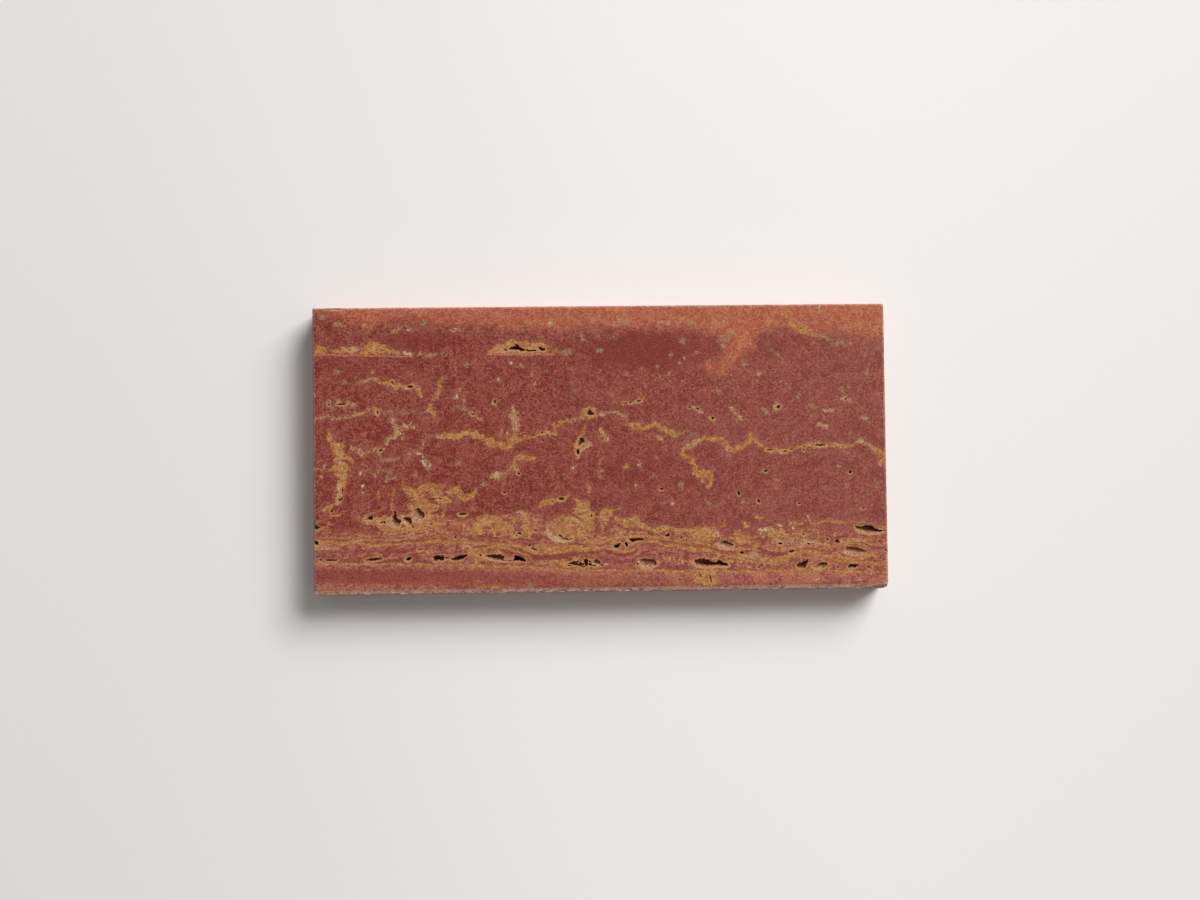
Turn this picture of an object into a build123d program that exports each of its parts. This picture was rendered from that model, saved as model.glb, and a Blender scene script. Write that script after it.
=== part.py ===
from build123d import *

import math
import os
from dataclasses import dataclass

# A 3 by 6 inch subway tile sawn from red travertine, across its beds, and honed with its cavities left open.
# Millimetres. The origin is the centre of the back face: X along the tile, Y across it, Z out of the honed face.

# The slab
TILE_LENGTH = 152.4
TILE_WIDTH = 76.2
TILE_THICKNESS = 10.0
# The eased edge round the honed face, and the finer one round the sawn back
FACE_ARRIS = 0.7
BACK_ARRIS = 0.3

# Heights of the porous beds above the tile's bottom edge. The beds run through the stone, so the face and
# the back are pitted along the same lines.
BASE_BED = 6.6
LOWER_BED = 9.5
MIDDLE_BED = 12.9
UPPER_BED = 20.3
TOP_BED = 64.9

# A cavity's outline is a ring of arcs that meet in small cusps. The lobes are how far it leaves a plain oval.
OUTLINE_ARCS = 6
WIDE_LOBE = 0.14
FINE_LOBE = 0.07
# The cutter starts this far outside the stone
OVERCUT = 0.4
# A cavity swells just under its mouth and closes to a smaller floor, as shares of its mouth and depth
BELLY_DEPTH = 0.4
BELLY_SWELL = 1.12
FLOOR_SWELL = 0.5


@dataclass(frozen=True)
class Cavity:
    """One natural cavity. along is its distance from an end of the tile, rise its height above the edge or bed
    that it is measured from, and keel is how deep its lower half is beside its upper one: under 1 is an arch."""

    along: float
    rise: float
    length: float
    width: float
    depth: float
    tilt: float = 0.0
    keel: float = 1.0
    turn: float = 0.0


# Cavities of the honed face in the left half, measured from the left end
LEFT_FACE = [
    Cavity(along=54.0, rise=TOP_BED + 0.2, length=3.7, width=1.7, depth=2.6, tilt=-4, keel=0.4, turn=0.6),
    Cavity(along=60.7, rise=TOP_BED, length=2.0, width=1.0, depth=1.6, keel=0.7, turn=1.9),
    Cavity(along=71.1, rise=40.0, length=1.6, width=2.2, depth=2.2, tilt=12, turn=2.6),
    Cavity(along=73.4, rise=47.7, length=1.7, width=0.8, depth=1.4, tilt=6, turn=0.9),
    Cavity(along=0.5, rise=UPPER_BED - 2.1, length=2.6, width=1.2, depth=2.4, turn=1.1),
    Cavity(along=0.4, rise=UPPER_BED - 6.2, length=2.4, width=1.4, depth=2.2, keel=0.6, turn=2.4),
    Cavity(along=14.6, rise=UPPER_BED, length=2.2, width=1.2, depth=1.7, tilt=4, turn=0.4),
    Cavity(along=21.6, rise=UPPER_BED - 0.1, length=2.3, width=2.5, depth=2.6, turn=1.5),
    Cavity(along=24.7, rise=UPPER_BED - 0.6, length=2.7, width=2.0, depth=2.2, tilt=-14, turn=2.9),
    Cavity(along=27.8, rise=UPPER_BED + 0.8, length=2.9, width=3.1, depth=2.9, turn=0.2),
    Cavity(along=39.4, rise=UPPER_BED + 0.8, length=2.3, width=0.9, depth=1.4, keel=0.5, turn=1.2),
    Cavity(along=5.0, rise=LOWER_BED, length=2.4, width=0.6, depth=1.3, turn=0.3),
    Cavity(along=16.5, rise=LOWER_BED, length=3.1, width=0.8, depth=1.6, tilt=8, turn=2.2),
    Cavity(along=25.0, rise=LOWER_BED, length=1.8, width=1.1, depth=1.7, tilt=20, turn=0.8),
    Cavity(along=32.9, rise=LOWER_BED + 0.1, length=2.9, width=1.4, depth=2.3, keel=0.5, turn=1.7),
    Cavity(along=38.3, rise=LOWER_BED, length=3.8, width=1.1, depth=1.9, tilt=8, turn=2.7),
    Cavity(along=47.9, rise=LOWER_BED + 0.1, length=5.4, width=1.9, depth=2.6, keel=0.4, turn=0.5),
    Cavity(along=54.0, rise=LOWER_BED, length=4.0, width=1.7, depth=4.2, keel=0.4, turn=1.4),
    Cavity(along=68.7, rise=LOWER_BED - 1.4, length=3.4, width=1.1, depth=2.0, tilt=-6, turn=2.0),
    Cavity(along=73.4, rise=LOWER_BED - 1.5, length=3.2, width=1.2, depth=2.1, tilt=10, turn=0.1),
]

# Cavities of the honed face in the right half, measured from the right end
RIGHT_FACE = [
    Cavity(along=72.4, rise=MIDDLE_BED - 0.7, length=2.2, width=1.1, depth=1.9, turn=0.7),
    Cavity(along=67.4, rise=MIDDLE_BED + 0.9, length=4.3, width=1.1, depth=2.0, tilt=6, keel=0.6, turn=2.5),
    Cavity(along=58.9, rise=MIDDLE_BED + 2.0, length=1.5, width=1.0, depth=1.4, turn=1.3),
    Cavity(along=43.4, rise=MIDDLE_BED - 0.4, length=4.1, width=1.8, depth=2.6, keel=0.3, turn=1.0),
    Cavity(along=28.7, rise=MIDDLE_BED - 0.6, length=1.4, width=0.7, depth=1.2, turn=0.4),
    Cavity(along=13.7, rise=MIDDLE_BED - 0.1, length=1.3, width=1.1, depth=1.5, turn=2.1),
    Cavity(along=3.8, rise=MIDDLE_BED + 2.9, length=5.8, width=1.8, depth=3.2, tilt=-3, keel=0.6, turn=0.9),
    Cavity(along=64.1, rise=BASE_BED + 1.4, length=5.2, width=2.0, depth=2.3, keel=0.5, turn=2.8),
    Cavity(along=49.6, rise=BASE_BED + 0.9, length=5.2, width=2.2, depth=4.3, keel=0.4, turn=0.6),
    Cavity(along=45.4, rise=BASE_BED + 0.9, length=4.8, width=2.0, depth=3.9, keel=0.4, turn=1.8),
    Cavity(along=25.8, rise=LOWER_BED + 0.7, length=1.5, width=0.8, depth=1.3, turn=2.3),
    Cavity(along=8.9, rise=LOWER_BED + 1.1, length=6.2, width=1.9, depth=2.4, tilt=-2, keel=0.3, turn=1.6),
    Cavity(along=23.1, rise=BASE_BED + 0.1, length=3.0, width=1.7, depth=2.5, tilt=8, keel=0.6, turn=0.3),
    Cavity(along=18.3, rise=BASE_BED - 0.3, length=3.7, width=1.4, depth=1.9, keel=0.5, turn=2.6),
    Cavity(along=9.5, rise=BASE_BED - 0.5, length=2.8, width=1.1, depth=1.9, keel=0.6, turn=1.1),
]

# Cavities of the sawn back, where the same beds come out, measured from the left end
BACK = [
    Cavity(along=11.0, rise=UPPER_BED - 1.0, length=2.8, width=1.3, depth=1.8, turn=1.0),
    Cavity(along=30.5, rise=UPPER_BED + 0.6, length=2.4, width=1.6, depth=2.0, tilt=-8, turn=2.2),
    Cavity(along=19.5, rise=LOWER_BED + 0.2, length=3.6, width=1.1, depth=1.9, tilt=4, keel=0.6, turn=0.5),
    Cavity(along=42.5, rise=LOWER_BED - 0.1, length=4.4, width=1.4, depth=2.2, keel=0.5, turn=1.8),
    Cavity(along=78.0, rise=MIDDLE_BED - 0.3, length=3.0, width=1.2, depth=1.8, turn=0.2),
    Cavity(along=112.5, rise=BASE_BED + 1.1, length=5.6, width=1.7, depth=2.4, keel=0.5, turn=2.5),
    Cavity(along=138.0, rise=MIDDLE_BED - 1.0, length=3.8, width=1.5, depth=2.1, tilt=-4, turn=1.3),
    Cavity(along=62.0, rise=TOP_BED - 0.4, length=2.6, width=1.2, depth=1.7, keel=0.6, turn=0.8),
]

# The flake broken off the face's bottom right corner, centred on the arris and lying along it
FLAKE = Cavity(along=2.0, rise=0.0, length=6.4, width=2.2, depth=0.7, turn=0.4)


def outline_point(cavity: Cavity, swell: float, share: float) -> tuple[float, float]:
    """The point that lies that share of the way round the cavity's lobed outline, enlarged by swell."""
    angle = 2 * math.pi * share
    wide = WIDE_LOBE * math.sin(2 * angle + cavity.turn)
    fine = FINE_LOBE * math.cos(3 * angle + 2 * cavity.turn)
    reach = swell * (1 + wide + fine)
    upper = cavity.width / (1 + cavity.keel)
    half_width = upper if math.sin(angle) >= 0 else upper * cavity.keel
    return (reach * cavity.length / 2 * math.cos(angle), reach * half_width * math.sin(angle))


def hollow(mouth: Plane, cavity: Cavity) -> Part:
    """The cavity as a solid to cut away, lofted from outside its mouth through its belly to its floor."""
    sections = [(OVERCUT, 1.0), (-BELLY_DEPTH * cavity.depth, BELLY_SWELL), (-cavity.depth, FLOOR_SWELL)]
    with BuildPart() as cutter:
        for height, swell in sections:
            with BuildSketch(mouth.offset(height)):
                with BuildLine():
                    for arc in range(OUTLINE_ARCS):
                        shares = [(arc + part) / OUTLINE_ARCS for part in (0, 0.5, 1)]
                        ThreePointArc(*[outline_point(cavity, swell, share) for share in shares])
                make_face()
        loft(ruled=True)
    return cutter.part


def face_plane(cavity: Cavity, end: int) -> Plane:
    """The honed face at the cavity's mouth, with end -1 for the left end and 1 for the right one."""
    centre = (end * (TILE_LENGTH / 2 - cavity.along), cavity.rise - TILE_WIDTH / 2, TILE_THICKNESS)
    along_bed = (math.cos(math.radians(cavity.tilt)), math.sin(math.radians(cavity.tilt)), 0)
    return Plane(origin=centre, x_dir=along_bed, z_dir=(0, 0, 1))


def back_plane(cavity: Cavity) -> Plane:
    """The sawn back at the cavity's mouth, facing down."""
    centre = (cavity.along - TILE_LENGTH / 2, cavity.rise - TILE_WIDTH / 2, 0)
    along_bed = (math.cos(math.radians(cavity.tilt)), math.sin(math.radians(cavity.tilt)), 0)
    return Plane(origin=centre, x_dir=along_bed, z_dir=(0, 0, -1))


hollows = [hollow(face_plane(cavity, -1), cavity) for cavity in LEFT_FACE]
hollows += [hollow(face_plane(cavity, 1), cavity) for cavity in RIGHT_FACE]
hollows += [hollow(back_plane(cavity), cavity) for cavity in BACK]

flake_centre = (TILE_LENGTH / 2 - FLAKE.along, FLAKE.rise - TILE_WIDTH / 2, TILE_THICKNESS)
flake_plane = Plane(origin=flake_centre, x_dir=(1, 0, 0), z_dir=(0, -1, 1))
hollows.append(hollow(flake_plane, FLAKE))

with BuildPart() as tile:
    with BuildSketch():
        Rectangle(TILE_LENGTH, TILE_WIDTH)
    extrude(amount=TILE_THICKNESS)
    chamfer(tile.faces().sort_by(Axis.Z)[-1].edges(), length=FACE_ARRIS)
    chamfer(tile.faces().sort_by(Axis.Z)[0].edges(), length=BACK_ARRIS)
    add(hollows, mode=Mode.SUBTRACT)

tile.part.label = "tile"

os.makedirs("parts", exist_ok=True)
export_step(tile.part, "parts/tile.step")
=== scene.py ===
"""A red travertine subway tile, honed and unfilled, lying on a pale floor under a large soft light.

The stone's veins, beds and cavities are placed in millimetres on the honed face, with x along the tile and y
across it from the face's centre. Everything that Blender gets is in metres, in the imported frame.
"""

import logging
import math
from dataclasses import dataclass
from enum import Enum

import bpy
import numpy as np
from bpy.types import Material, Node, NodeOutputs, NodeSocket, NodeTree, Object
from mathutils import Euler, Matrix, Vector
from mathutils.kdtree import KDTree


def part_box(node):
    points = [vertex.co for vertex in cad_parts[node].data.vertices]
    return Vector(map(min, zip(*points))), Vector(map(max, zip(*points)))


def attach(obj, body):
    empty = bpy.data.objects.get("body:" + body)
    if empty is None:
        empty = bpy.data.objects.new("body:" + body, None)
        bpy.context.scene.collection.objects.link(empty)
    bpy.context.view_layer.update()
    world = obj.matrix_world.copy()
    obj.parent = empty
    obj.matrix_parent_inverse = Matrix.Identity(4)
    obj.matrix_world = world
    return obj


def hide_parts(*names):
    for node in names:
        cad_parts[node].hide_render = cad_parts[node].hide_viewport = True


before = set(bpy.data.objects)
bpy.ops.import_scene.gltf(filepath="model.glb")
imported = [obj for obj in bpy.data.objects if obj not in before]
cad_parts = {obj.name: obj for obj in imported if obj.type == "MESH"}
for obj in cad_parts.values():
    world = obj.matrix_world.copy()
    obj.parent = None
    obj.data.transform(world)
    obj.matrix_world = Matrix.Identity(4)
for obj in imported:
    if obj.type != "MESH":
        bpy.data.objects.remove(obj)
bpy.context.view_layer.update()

log = logging.getLogger("travertine_tile")

MM = 0.001
# How far round a feature the stone is measured, in millimetres
FAR = 3.0


def srgb(red: int, green: int, blue: int) -> tuple[float, float, float, float]:
    """The scene-linear colour, with alpha, of a display colour given from 0 to 255."""
    def linear(level: int) -> float:
        """One channel from display to linear light."""
        share = level / 255
        return share / 12.92 if share <= 0.04045 else ((share + 0.055) / 1.055) ** 2.4

    return (linear(red), linear(green), linear(blue), 1.0)


def line_depth(x: np.ndarray, y: np.ndarray, path: tuple, width: float) -> np.ndarray:
    """Measure how deep places lie inside a line.

    Args:
        x: The places along the tile, in millimetres.
        y: The places across it.
        path: The line's points, with a width of their own where they have a third number.
        width: The width of the other points.

    Returns:
        The depth of each place inside the line, negative outside.
    """
    inside = np.full(len(x), -FAR)
    points = [(*point, width)[:3] for point in path]
    for (x0, y0, width0), (x1, y1, width1) in zip(points, points[1:]):
        run, rise = x1 - x0, y1 - y0
        share = np.clip(((x - x0) * run + (y - y0) * rise) / (run ** 2 + rise ** 2), 0, 1)
        distance = np.hypot(x - x0 - share * run, y - y0 - share * rise)
        inside = np.maximum(inside, (width0 + share * (width1 - width0)) / 2 - distance)
    return inside


def outline_depth(x: np.ndarray, y: np.ndarray, outline: tuple) -> np.ndarray:
    """Measure how deep places lie inside an outline.

    Args:
        x: The places along the tile, in millimetres.
        y: The places across it.
        outline: The outline's corners in order.

    Returns:
        The depth of each place inside the outline, negative outside.
    """
    edge = line_depth(x, y, outline + outline[:1], 0)
    within = np.zeros(len(x), bool)
    for (x0, y0), (x1, y1) in zip(outline, outline[1:] + outline[:1]):
        if y0 != y1:
            within ^= ((y0 > y) != (y1 > y)) & (x < x0 + (y - y0) * (x1 - x0) / (y1 - y0))
    return np.where(within, -edge, edge)


class Mineral(Enum):
    """What fills a vein or a patch, as the axis of the mesh attributes that carry it."""

    OCHRE = 0
    CREAM = 1
    GREY = 2


@dataclass(frozen=True)
class Vein:
    """A line of mineral on the face.

    A point of the path is (x, y), or (x, y, width) where the vein is not as wide as its usual width.
    """

    mineral: Mineral
    strength: float
    width: float
    path: tuple


@dataclass(frozen=True)
class Patch:
    """An area of mineral with its outline's corners in order."""

    mineral: Mineral
    strength: float
    outline: tuple


@dataclass(frozen=True)
class Cavity:
    """A natural hollow, with its mouth's centre and size, its depth and its turn in degrees.

    The lip is how much pale crystal lies along it; its rim is painted palest on the lower left, as painted
    light where the light falls on the hollow's wall.
    """

    x: float
    y: float
    length: float
    width: float
    depth: float
    turn: float = 0.0
    lip: float = 0.5

    def inside(self, x: np.ndarray, y: np.ndarray) -> np.ndarray:
        """How deep places lie inside the mouth, negative outside it, in millimetres."""
        reach = np.hypot((x - self.x) / self.length, (y - self.y) / self.width) + 0.001
        return np.hypot(x - self.x, y - self.y) * (0.5 / reach - 1)


@dataclass(frozen=True)
class Cavern:
    """A larger hollow, with the corners of its mouth in order and its depth.

    Its floor lies away from under its mouth by the lean, so that the far wall slopes in the light.
    """

    mouth: tuple
    depth: float
    lean: tuple[float, float] = (0.0, 0.0)
    # The lip: how much pale crystal lies along the mouth, painted palest on the lower left as painted light
    lip: float = 0.5

    @property
    def x(self) -> float:
        """The middle of the mouth along the tile."""
        return (min(x for x, _ in self.mouth) + max(x for x, _ in self.mouth)) / 2

    @property
    def y(self) -> float:
        """The middle of the mouth across the tile."""
        return (min(y for _, y in self.mouth) + max(y for _, y in self.mouth)) / 2

    @property
    def length(self) -> float:
        """The mouth's size along the tile."""
        return max(x for x, _ in self.mouth) - min(x for x, _ in self.mouth)

    @property
    def width(self) -> float:
        """The mouth's size across the tile."""
        return max(y for _, y in self.mouth) - min(y for _, y in self.mouth)

    def inside(self, x: np.ndarray, y: np.ndarray) -> np.ndarray:
        """How deep places lie inside the mouth, negative outside it, in millimetres."""
        return outline_depth(x, y, self.mouth)


OCHRE, CREAM, GREY = Mineral.OCHRE, Mineral.CREAM, Mineral.GREY

# The beds, from the left end to the right: the floor of the porous stone, its middle and its ragged top
BASE_LINE = (
    (-76.2, -29.4), (-65.7, -29.8), (-56.8, -29.9), (-44.6, -30.2), (-30, -30.8), (-20, -31), (-10, -31.9),
    (4, -32.4), (9, -32.4), (30.7, -33), (50, -33), (64.4, -33.3), (76.2, -33.8)
)
MIDDLE_LINE = (
    (-76.2, -24.5), (-55, -24.7), (-43, -24), (-30, -24.9), (-20.6, -26), (-16, -27.4), (-6.7, -26.3),
    (1.7, -26.4), (7.9, -27.2), (12.3, -24.7), (20, -26.3), (30.9, -28.3), (38, -29.1), (46.3, -30.2),
    (53.6, -28), (61.6, -30.2), (76.2, -31.4)
)
POROUS_TOP = (
    (-76.2, -21), (-66, -21.2), (-58, -20.6), (-52, -19.8), (-46, -17), (-34, -17.4), (-28, -16.8),
    (-20, -16.5), (-16, -17.2), (-8, -18), (0, -21), (4, -19.2), (12, -21.6), (22, -21.9), (35, -23.5),
    (44, -22.5), (50, -23), (60, -23.5), (66, -21.2), (72, -20.9), (76.2, -21.6)
)

# Veins of the upper and middle stone: mineral, strength, usual width and path
VEINS = tuple(Vein(*row) for row in (
    (CREAM, 0.55, 0.8, ((-64.5, 18.3), (-62, 18.3), (-61, 19.2), (-59.4, 18.9), (-58.2, 18.3))),
    (OCHRE, 0.85, 1.2, ((-58.2, 18.3), (-57, 17.9), (-55.5, 18.2), (-54.5, 17), (-53, 17), (-51.5, 16.6),
        (-50, 17.2), (-49.2, 17.6), (-48.5, 16.5), (-48, 15.2), (-47.4, 14.4, 0.5))),
    (OCHRE, 0.7, 1.2, ((-41.6, 19.3, 0.7), (-42.8, 18), (-42.9, 15.5, 1.4), (-43.7, 13.9))),
    (OCHRE, 0.8, 1.1, ((-44.9, 12.2), (-45.4, 11.2), (-44.4, 9.9), (-44.6, 8.8, 0.5))),
    (CREAM, 0.6, 0.7, ((-76.2, 8.5), (-74.8, 8.9), (-72.3, 9.4), (-70.4, 8.4), (-67.9, 8.9),
        (-65.1, 9.6))),
    (OCHRE, 0.8, 1, ((-65.1, 9.6), (-63.4, 9.9), (-62.3, 10.3), (-61, 11.1), (-59.8, 11.4), (-58.7, 10.6),
        (-58.9, 9.5), (-59.6, 10.2))),
    (GREY, 0.5, 0.7, ((-58.6, 10.4), (-54.5, 10.4), (-49.8, 10.2), (-45.5, 10.4))),
    (OCHRE, 0.95, 1.4, ((-72.05, 5.7, 0.8), (-71.6, 4.3), (-72.05, 2.9, 1), (-71.2, 2), (-69.6, 1.6, 2.2),
        (-69.3, -0.4, 3), (-69.4, -2.7, 2), (-68.8, -4.6, 4), (-68.6, -6.2, 2.6), (-68.2, -7.4, 1.6),
        (-68.6, -8.8, 2.2), (-69, -10.4, 1.7), (-69.6, -12.1, 1.3), (-69.8, -13.8, 1), (-70.9, -14.3, 0.8),
        (-73.2, -15.3, 0.8))),
    (OCHRE, 0.8, 1.1, ((-69.3, -0.4), (-66.8, -1.6), (-65.7, -2.9, 0.5))),
    (OCHRE, 0.8, 1, ((-72.7, -5, 0.5), (-70.4, -4.6, 1.3), (-67.2, -4.8), (-66.1, -5.3, 0.5))),
    (CREAM, 0.6, 1, ((-69, 1.6), (-68.6, -0.8), (-69, -4.8, 1.4), (-68.4, -6.4), (-69.4, -9.4, 1.2),
        (-69.3, -11, 1.3), (-69.6, -12.1))),
    (CREAM, 0.6, 0.7, ((-66, 0.7), (-64, 0.4), (-63.4, -0.4), (-62.3, -0.7), (-60.9, 0.1), (-59.8, 0.4),
        (-57.6, 0.4))),
    (OCHRE, 0.5, 1, ((-60.9, 0.1), (-58.9, 0.2), (-57.6, 0.4))),
    (CREAM, 0.48, 0.7, ((-58.7, -1), (-58.2, -2.1), (-56.2, -2.7), (-54, -2.1), (-51.2, -2.1),
        (-50.4, -0.7), (-49, -0.2), (-47.6, 0.7), (-46.5, 2.9), (-45.7, 3.7), (-44, 4), (-42.9, 3.7))),
    (OCHRE, 0.95, 1.5, ((-42.4, 3.5, 0.7), (-41.2, 4), (-40, 3.9), (-38.1, 3.4, 1.8), (-36.9, 4.6),
        (-35, 4.8), (-33.6, 4.3), (-32.2, 3.4), (-30.6, 2.6, 1.8), (-29.2, 2, 2.4), (-27.5, 1.6, 1.7),
        (-25.8, 0.9, 1.8), (-24.4, 0.9, 1.9), (-24.1, 2.1, 2.4), (-22.8, 2.7, 2.2), (-21.1, 2.75, 1.1),
        (-19.4, 3.2, 0.6), (-17.5, 3.3, 0.8), (-16.4, 4.1, 1.2), (-14.2, 4.4, 1), (-12.2, 4, 0.8),
        (-10.8, 3.7, 0.4))),
    (OCHRE, 0.6, 1.2, ((-23, 2.9), (-22.3, 4.8))),
    (CREAM, 0.7, 1, ((-22.3, 4.8), (-22.8, 6.8, 2.3), (-23, 9.6, 2), (-23.2, 11, 0.7))),
    (CREAM, 0.6, 0.7, ((-36.5, 14.5), (-36.3, 12.5), (-36.5, 11.3), (-34.7, 10.1, 1.2), (-33.2, 9),
        (-31.7, 8.2))),
    (CREAM, 0.55, 0.6, ((-38.8, 11.2), (-36.5, 11.3))),
    (OCHRE, 0.5, 0.8, ((-28.2, 13.3), (-28.5, 12), (-27.4, 11.1))),
    (OCHRE, 0.75, 1.1, ((-12.5, 5.6), (-12.2, 6.4), (-11.1, 6), (-10.4, 7), (-9.2, 7.5),
        (-7.2, 7.7, 0.7))),
    (CREAM, 0.65, 0.7, ((-7.2, 7.7), (-5.6, 8), (-4.2, 8.2))),
    (OCHRE, 0.9, 1.1, ((-4.4, 8.6), (-4.6, 10.2, 1.2), (-3.2, 11, 0.7), (-1.6, 9.8), (-1.3, 8.9),
        (-2.8, 8.7), (-4.2, 8.5), (0, 9, 0.6))),
    (CREAM, 0.55, 0.7, ((0, 9), (1.5, 9.3), (2.8, 9.8), (4.5, 9.6), (5.5, 8.7), (7, 8.1))),
    (OCHRE, 0.75, 0.8, ((-4.2, 6.2), (-4.4, 5.4), (-4.6, 4.2, 1.1), (-5.6, 3.2), (-6.6, 1.2),
        (-6.9, -0.6), (-6.4, -2, 1.1))),
    (CREAM, 0.7, 0.8, ((-4.4, 0.9), (-3, 1.4, 1.3), (-5.3, -0.2), (-6.25, -2))),
    (OCHRE, 0.9, 1.2, ((7.5, 6.6), (8.2, 5.7), (9.7, 6.1, 1.4), (10.7, 5.4), (11.9, 5.25), (12.6, 5.9),
        (14.3, 6.2, 0.7), (15.7, 5.7), (16.8, 5.1), (18.2, 4.3), (18.9, 4.4), (19.7, 3.4, 0.6))),
    (GREY, 0.7, 0.7, ((19.7, 3.4), (20.7, 3.4), (22.3, 4.1), (24, 3.6), (25.7, 3.3))),
    (CREAM, 0.7, 0.9, ((0, 5.1), (0.3, 3.7), (1, 2.9, 1.4), (1.1, 2.3))),
    (CREAM, 0.55, 1, ((15, 3.5), (15.9, 2.7), (16.5, 1.8))),
    (GREY, 0.6, 0.7, ((14.6, 6.4), (14, 7.6))),
    (OCHRE, 0.85, 1.2, ((32.3, 2.2), (30.9, 2.05), (29.6, 2.3), (28.2, 2.6), (26.8, 2.2), (25.4, 1.5))),
    (CREAM, 0.65, 1.4, ((26, 1.8), (25.2, 1.4), (23.7, 0.7, 1.8), (22.3, 0.1, 1))),
    (OCHRE, 0.9, 1.2, ((22.5, 0.2), (21.7, -1), (21.8, -2.25), (22.9, -2.7), (24, -3.8),
        (24.8, -4.9, 1.2), (24.8, -6.6), (25.6, -6.9, 2.4), (27.6, -6.8, 1.9), (28.4, -6.6), (29, -7.7),
        (29.3, -9.3), (28, -10.3, 0.6))),
    (OCHRE, 0.7, 0.8, ((24, -2.7), (24.9, -3.2), (24.6, -3.9))),
    (CREAM, 0.6, 0.7, ((27.6, -8.8), (26.6, -9.2), (25.9, -9.6))),
    (OCHRE, 0.95, 1.2, ((32.1, 0.7), (32.9, 0.8, 1.8), (34.3, -0.4, 1.4), (35.3, -0.9), (36.5, 0.1),
        (38.4, 0.4), (39.6, 1.5), (40.1, 2.3, 1.4), (39.9, 3.9, 0.6))),
    (OCHRE, 0.85, 1, ((40.1, 2.1), (41.1, 2.2), (41.9, 0.7), (43, 0.1), (44.1, -1), (45.2, -1.1, 1.2),
        (46.9, -0.6), (47.7, -1.6), (49.1, -1.4), (50.5, -0.6), (51.9, -0.3, 0.5))),
    (OCHRE, 0.95, 1.2, ((52.6, -0.2, 0.6), (54.25, 0.2), (56.9, 0.35), (58, 0.5, 1.4), (61.6, 0.25),
        (63, 0.4, 1.4), (64.7, 0.1), (65.8, 0.1, 0.7), (67.2, 0, 0.4))),
    (CREAM, 0.7, 0.8, ((68.3, 1.1), (69.5, 1.4, 1.1), (70.5, 0.8), (71.6, -0.2), (73, -1))),
    (OCHRE, 0.9, 1.1, ((73, -1), (73.8, -1.6), (74.4, -2.4), (75.8, -2.8), (75.4, -4),
        (74.5, -4.6, 1.3))),
    (OCHRE, 0.7, 1, ((50, 36.2, 0.6), (50.3, 33.6, 1), (52, 32.3, 1.7), (53.6, 31.5, 2), (55.4, 30.8, 2),
        (57.4, 30, 1.2), (59, 29.6, 0.6))),
    (GREY, 0.75, 0.8, ((57.8, 29.9), (60.2, 29.1), (61.6, 28.6), (62.8, 27.2, 0.5))),
    (GREY, 0.6, 1, ((63.4, 28), (64.5, 28.6), (65.4, 27.2))),
    (CREAM, 0.7, 0.8, ((-55.2, 9), (-55, 7.4), (-54.4, 6.3, 1.5), (-53.6, 5, 1.6), (-54.6, 3.9, 1.2),
        (-56, 3), (-56.8, 2.1))),
    (CREAM, 0.7, 0.6, ((-53.6, 5.8), (-52, 6.6), (-50.6, 6.9), (-49.4, 6.6))),
    (GREY, 0.75, 0.8, ((-59, -5.3), (-57.9, -4.9), (-56.6, -5.2), (-56, -6, 1.1), (-56.5, -7),
        (-57, -8))),
    (OCHRE, 0.6, 1, ((-66.4, 0.9), (-64.7, 0.4), (-63.9, -0.6, 1.3), (-62.6, -1.7, 0.7))),
    (OCHRE, 0.6, 0.6, ((-63, -3.5), (-61.9, -4.3), (-61.3, -5.6), (-60, -6))),
    (CREAM, 0.5, 0.35, ((-76, -2.2), (-73.6, -2.3))),
    (CREAM, 0.5, 0.35, ((-75.6, -3.4), (-72.8, -3.6))),
    (CREAM, 0.5, 0.35, ((-76, -4.7), (-73.2, -4.8))),
    (CREAM, 0.5, 0.35, ((-76, -6.6), (-74, -6.5))),
    (OCHRE, 0.7, 0.9, ((5.6, 11.7), (7, 12.3), (8.6, 12), (10.2, 12.7), (11.5, 13))),
    (OCHRE, 0.8, 1.5, ((8.6, 5.9), (10.4, 5.6))),
    (OCHRE, 0.8, 1.5, ((17.9, 4.2), (19.8, 3.6))),
    (OCHRE, 0.7, 1.1, ((-22.9, -3.4), (-22.8, -4.8), (-22, -6.3))),
    (GREY, 0.65, 0.6, ((-0.2, -3), (-0.5, -5.2), (-0.1, -7.5))),
    (CREAM, 0.55, 0.8, ((-3.4, -9.4), (-3.2, -11.3))),
    (CREAM, 0.75, 0.7, ((64.3, 13), (65.4, 12.6), (66.7, 12))),
    (CREAM, 0.7, 0.8, ((24.8, 11), (25.9, 10.3), (26.9, 9.6))),
    (CREAM, 0.65, 0.9, ((34.8, 10.3), (36, 9), (37.4, 7.4))),
    (GREY, 0.75, 1.1, ((43.4, 10), (44.8, 8.6))),
    (GREY, 0.75, 1.1, ((56, 11), (57.4, 10))),
    (CREAM, 0.55, 0.6, ((59.2, 9.8), (61.6, 9.5), (65, 9.6))),
    (CREAM, 0.65, 0.9, ((58.1, 5.6), (60, 5.4))),
    (CREAM, 0.6, 0.8, ((69.4, 7.5), (71, 7.2))),
    (OCHRE, 0.85, 1.9, ((73.6, -1.6), (75.6, -2.8, 1.5))),
    (GREY, 0.65, 0.5, ((73, -9), (73.8, -10), (73.2, -11.2))),
))

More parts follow.
